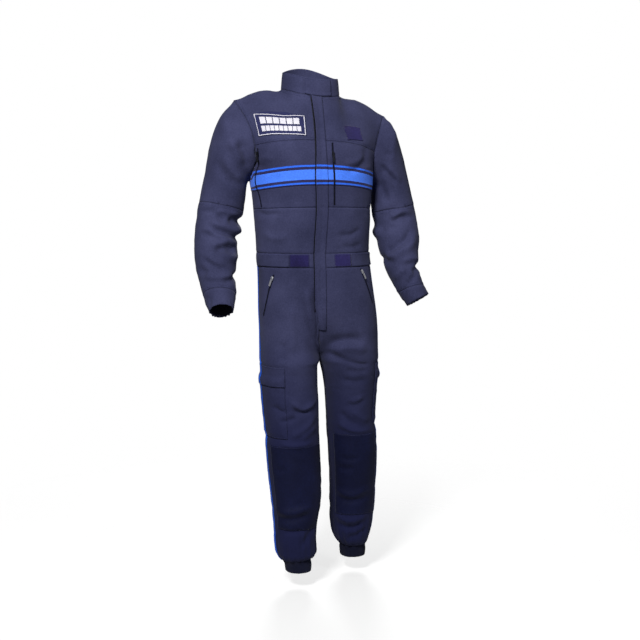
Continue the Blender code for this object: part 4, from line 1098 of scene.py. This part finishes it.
def spaced(line, pitch):
    """(point, normal, direction) at even steps along a line of (point, normal)."""
    result, owed = [], 0.0
    for (a, na), (b, nb) in zip(line, line[1:]):
        length = (b - a).length
        if length < 1e-7:
            continue
        while owed < length:
            share = owed / length
            result.append((a.lerp(b, share), na.lerp(nb, share).normalized(), (b - a) / length))
            owed += pitch
        owed -= length
    return result


def add_block(mesh, point, out, along, size):
    """A small box of this size (across, along, out) at a point."""
    side = out.cross(along).normalized()
    along = side.cross(out).normalized()
    turn = Matrix((side, along, out)).transposed().to_4x4()
    turn.translation = point
    bmesh.ops.create_cube(mesh, size=1, matrix=turn @ Matrix.Diagonal((*size, 1)))


def add_joined(name, mesh, material):
    """One piece from many small blocks."""
    pieces[name] = add_mesh(name, mesh)
    thing = finish_piece(name, material)
    print(name, len(thing.data.polygons), "faces")


for zip_name in ZIP_OVER:
    teeth = bmesh.new()
    for point, out, along in spaced(middle_line(zip_name), TOOTH_PITCH):
        add_block(teeth, point + out * TOOTH_RISE, out, along, TOOTH_SIZE)
    add_joined(zip_name + "_teeth", teeth, ZIP_COIL)

# %% [markdown]
# ## Topstitching
#
# Rows of stitches hold the edges down: along seams, round pockets and patches, and down the
# storm flap. Each stitch is a tiny block of thread set a few millimetres inside the edge.

# %% Stitch along borders
STITCH = (0.7 * MM, 2.3 * MM, 0.5 * MM)
STITCH_PITCH, STITCH_RISE = 3.4 * MM, 0.1 * MM
EDGE_ROW, SECOND_ROW = 2.2 * MM, 7.5 * MM   # how far the rows lie inside the edge
OFF_CLOTH = 3 * MM          # a stitch farther from its piece than this is left out


def border_lines(name):
    """Each border of a piece as an ordered line of (point, normal, inward direction)."""
    mesh = bmesh.new()
    mesh.from_mesh(pieces[name].data)
    mesh.normal_update()
    open_edges = {e.index: e for e in mesh.edges if e.is_boundary}
    lines = []
    while open_edges:
        _, edge = open_edges.popitem()
        chain = [edge.verts[0], edge.verts[1]]
        for grow_end in (True, False):
            while True:
                tip = chain[-1] if grow_end else chain[0]
                onward = next((e for e in tip.link_edges if e.index in open_edges), None)
                if onward is None:
                    break
                del open_edges[onward.index]
                other = onward.other_vert(tip)
                if grow_end:
                    chain.append(other)
                else:
                    chain.insert(0, other)
        line = []
        for k, vertex in enumerate(chain):
            before, after = chain[max(k - 1, 0)], chain[min(k + 1, len(chain) - 1)]
            along = (after.co - before.co).normalized()
            inside = sum((f.calc_center_median() for f in vertex.link_faces), Vector())
            inside = inside / len(vertex.link_faces) - vertex.co
            inward = vertex.normal.cross(along).normalized()
            if inward.dot(inside) < 0:
                inward.negate()
            line.append((vertex.co.copy(), vertex.normal.copy(), inward))
        lines.append(line)
    mesh.free()
    return lines


def stitch_border(mesh, name, inset):
    """Stitches inside every border of a piece."""
    tree = tree_over([name])
    for line in border_lines(name):
        inner = [(p + inward * inset, n) for p, n, inward in line]
        for point, out, along in spaced(inner, STITCH_PITCH):
            near, _, _, far = tree.find_nearest(point)
            if near is not None and far < OFF_CLOTH:
                add_block(mesh, near + out * STITCH_RISE, out, along, STITCH)


threads = bmesh.new()
for name in ("cargo_pocket_right", "cargo_pocket_left", "cargo_flap_right", "cargo_flap_left",
             "knee_patch_right", "knee_patch_left", "waist_tab_right", "waist_tab_left",
             "waist_loop_right", "waist_loop_left", "rank_loop", "collar_tab", "storm_flap"):
    stitch_border(threads, name, EDGE_ROW)
add_joined("trim_stitches", threads, THREAD)

threads = bmesh.new()
for name in ("chest_front_right", "chest_front_left", "waistband_front_right",
             "waistband_front_left", "yoke_front_right", "yoke_front_left", "yoke_back",
             "waistband_back", "collar", "sleeve_lower_right", "sleeve_lower_left"):
    stitch_border(threads, name, EDGE_ROW)
    if name.startswith(("yoke", "sleeve")):
        stitch_border(threads, name, SECOND_ROW)
add_joined("seam_stitches", threads, THREAD)

# %% [markdown]
# ## Metal sliders and pulls
#
# These keep the frame's own solids, because they move. They only need a metal and soft edges.

# %% Dress the metal
for name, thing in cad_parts.items():
    if "slider" in name or "pull" in name:
        thing.data.materials.clear()
        thing.data.materials.append(BRIGHT_METAL if name.startswith("hip") else DARK_METAL)
        edge = thing.modifiers.new("soft_edge", "BEVEL")
        edge.width, edge.segments, edge.limit_method = 0.15 * MM, 2, "ANGLE"
left_over = [n for n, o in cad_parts.items()
             if not o.hide_render and "slider" not in n and "pull" not in n]
print("CAD cloth still showing:", left_over)

# %% [markdown]
# ## Floor, light and camera
#
# A plain pale floor fades into white. The key and the fill light stand in front, one light
# hangs above, and one behind draws the edges. The camera looks at the wearer's right front,
# from a little above the waist.

# %% Light the studio
FLOOR_DROP = 55 * MM


def floor_material():
    """Matt white paint that fades to nothing far from the middle."""
    material, tree, shader = new_material("floor_paint", 0.9)
    shader.inputs["Base Color"].default_value = (0.86, 0.86, 0.86, 1)
    place = node(tree, "ShaderNodeTexCoord").outputs["Object"]
    far = node(tree, "ShaderNodeVectorMath", {0: place}, operation="LENGTH").outputs["Value"]
    fade = node(tree, "ShaderNodeMapRange", {"Value": far, "From Min": 0.5, "From Max": 2.2})
    clear = node(tree, "ShaderNodeBsdfTransparent")
    mixed = node(tree, "ShaderNodeMixShader", {0: fade.outputs["Result"],
                                               1: shader.outputs["BSDF"],
                                               2: clear.outputs["BSDF"]})
    out = tree.nodes["Material Output"]
    tree.links.new(mixed.outputs["Shader"], out.inputs["Surface"])
    return material


ground = bmesh.new()
bmesh.ops.create_circle(ground, cap_ends=True, segments=64, radius=4)
bmesh.ops.translate(ground, verts=ground.verts[:], vec=(0, 0, cad_box[0].z - FLOOR_DROP))
floor = add_mesh("floor", ground)
floor.data.materials.append(floor_material())

world = bpy.data.worlds.new("studio")
bpy.context.scene.world = world
world.use_nodes = True
tree = world.node_tree
lit = node(tree, "ShaderNodeBackground", {"Color": (1, 1, 1, 1), "Strength": 0.10})
seen = node(tree, "ShaderNodeBackground", {"Color": (1, 1, 1, 1), "Strength": 1.0})
rays = node(tree, "ShaderNodeLightPath")
both = node(tree, "ShaderNodeMixShader", {0: rays.outputs["Is Camera Ray"],
                                          1: lit.outputs["Background"],
                                          2: seen.outputs["Background"]})
tree.links.new(both.outputs["Shader"], tree.nodes["World Output"].inputs["Surface"])

Lamp = namedtuple("Lamp", "name place aim size watts")
LAMPS = [
    Lamp("key", (-1.6, -2.6, 1.6), (0, 0, -0.5), 0.7, 165),
    Lamp("fill", (1.9, -2.6, 0.8), (0, 0, -0.6), 0.9, 26),
    Lamp("top", (0.1, -0.3, 2.4), (0, 0, -0.4), 0.8, 9),
    Lamp("back", (0.8, 2.8, 1.2), (0, 0, -0.6), 1.0, 110),
]
for lamp in LAMPS:
    light = bpy.data.lights.new(lamp.name, "AREA")
    light.energy, light.size = lamp.watts, lamp.size
    thing = add_object(lamp.name, light)
    thing.location = lamp.place
    aim = Vector(lamp.aim) - Vector(lamp.place)
    thing.rotation_euler = aim.to_track_quat("-Z", "Y").to_euler()

# %% Set the camera
CAMERA_DISTANCE, CAMERA_AZIMUTH, CAMERA_PITCH = 3.2, -15, 6.9
CAMERA_HEIGHT, CAMERA_SIDE, CAMERA_LENS = -0.286, 27 * MM, 60.47

camera_data = bpy.data.cameras.new("camera")
camera_data.lens, camera_data.sensor_width = CAMERA_LENS, 36
camera = add_object("camera", camera_data)
right, towards = view_axes(CAMERA_AZIMUTH)
camera.location = Vector(towards * CAMERA_DISTANCE + right * CAMERA_SIDE)
camera.location.z = CAMERA_HEIGHT
camera.rotation_euler = (math.radians(90 - CAMERA_PITCH), 0, math.radians(CAMERA_AZIMUTH))
bpy.context.scene.camera = camera
bpy.context.scene.view_settings.view_transform = "Standard"

# %% [markdown]
# ## Finish
#
# The frame's box is printed.

# %% Print the frame's box
print("CAD box", [round(v, 3) for c in cad_box for v in c])
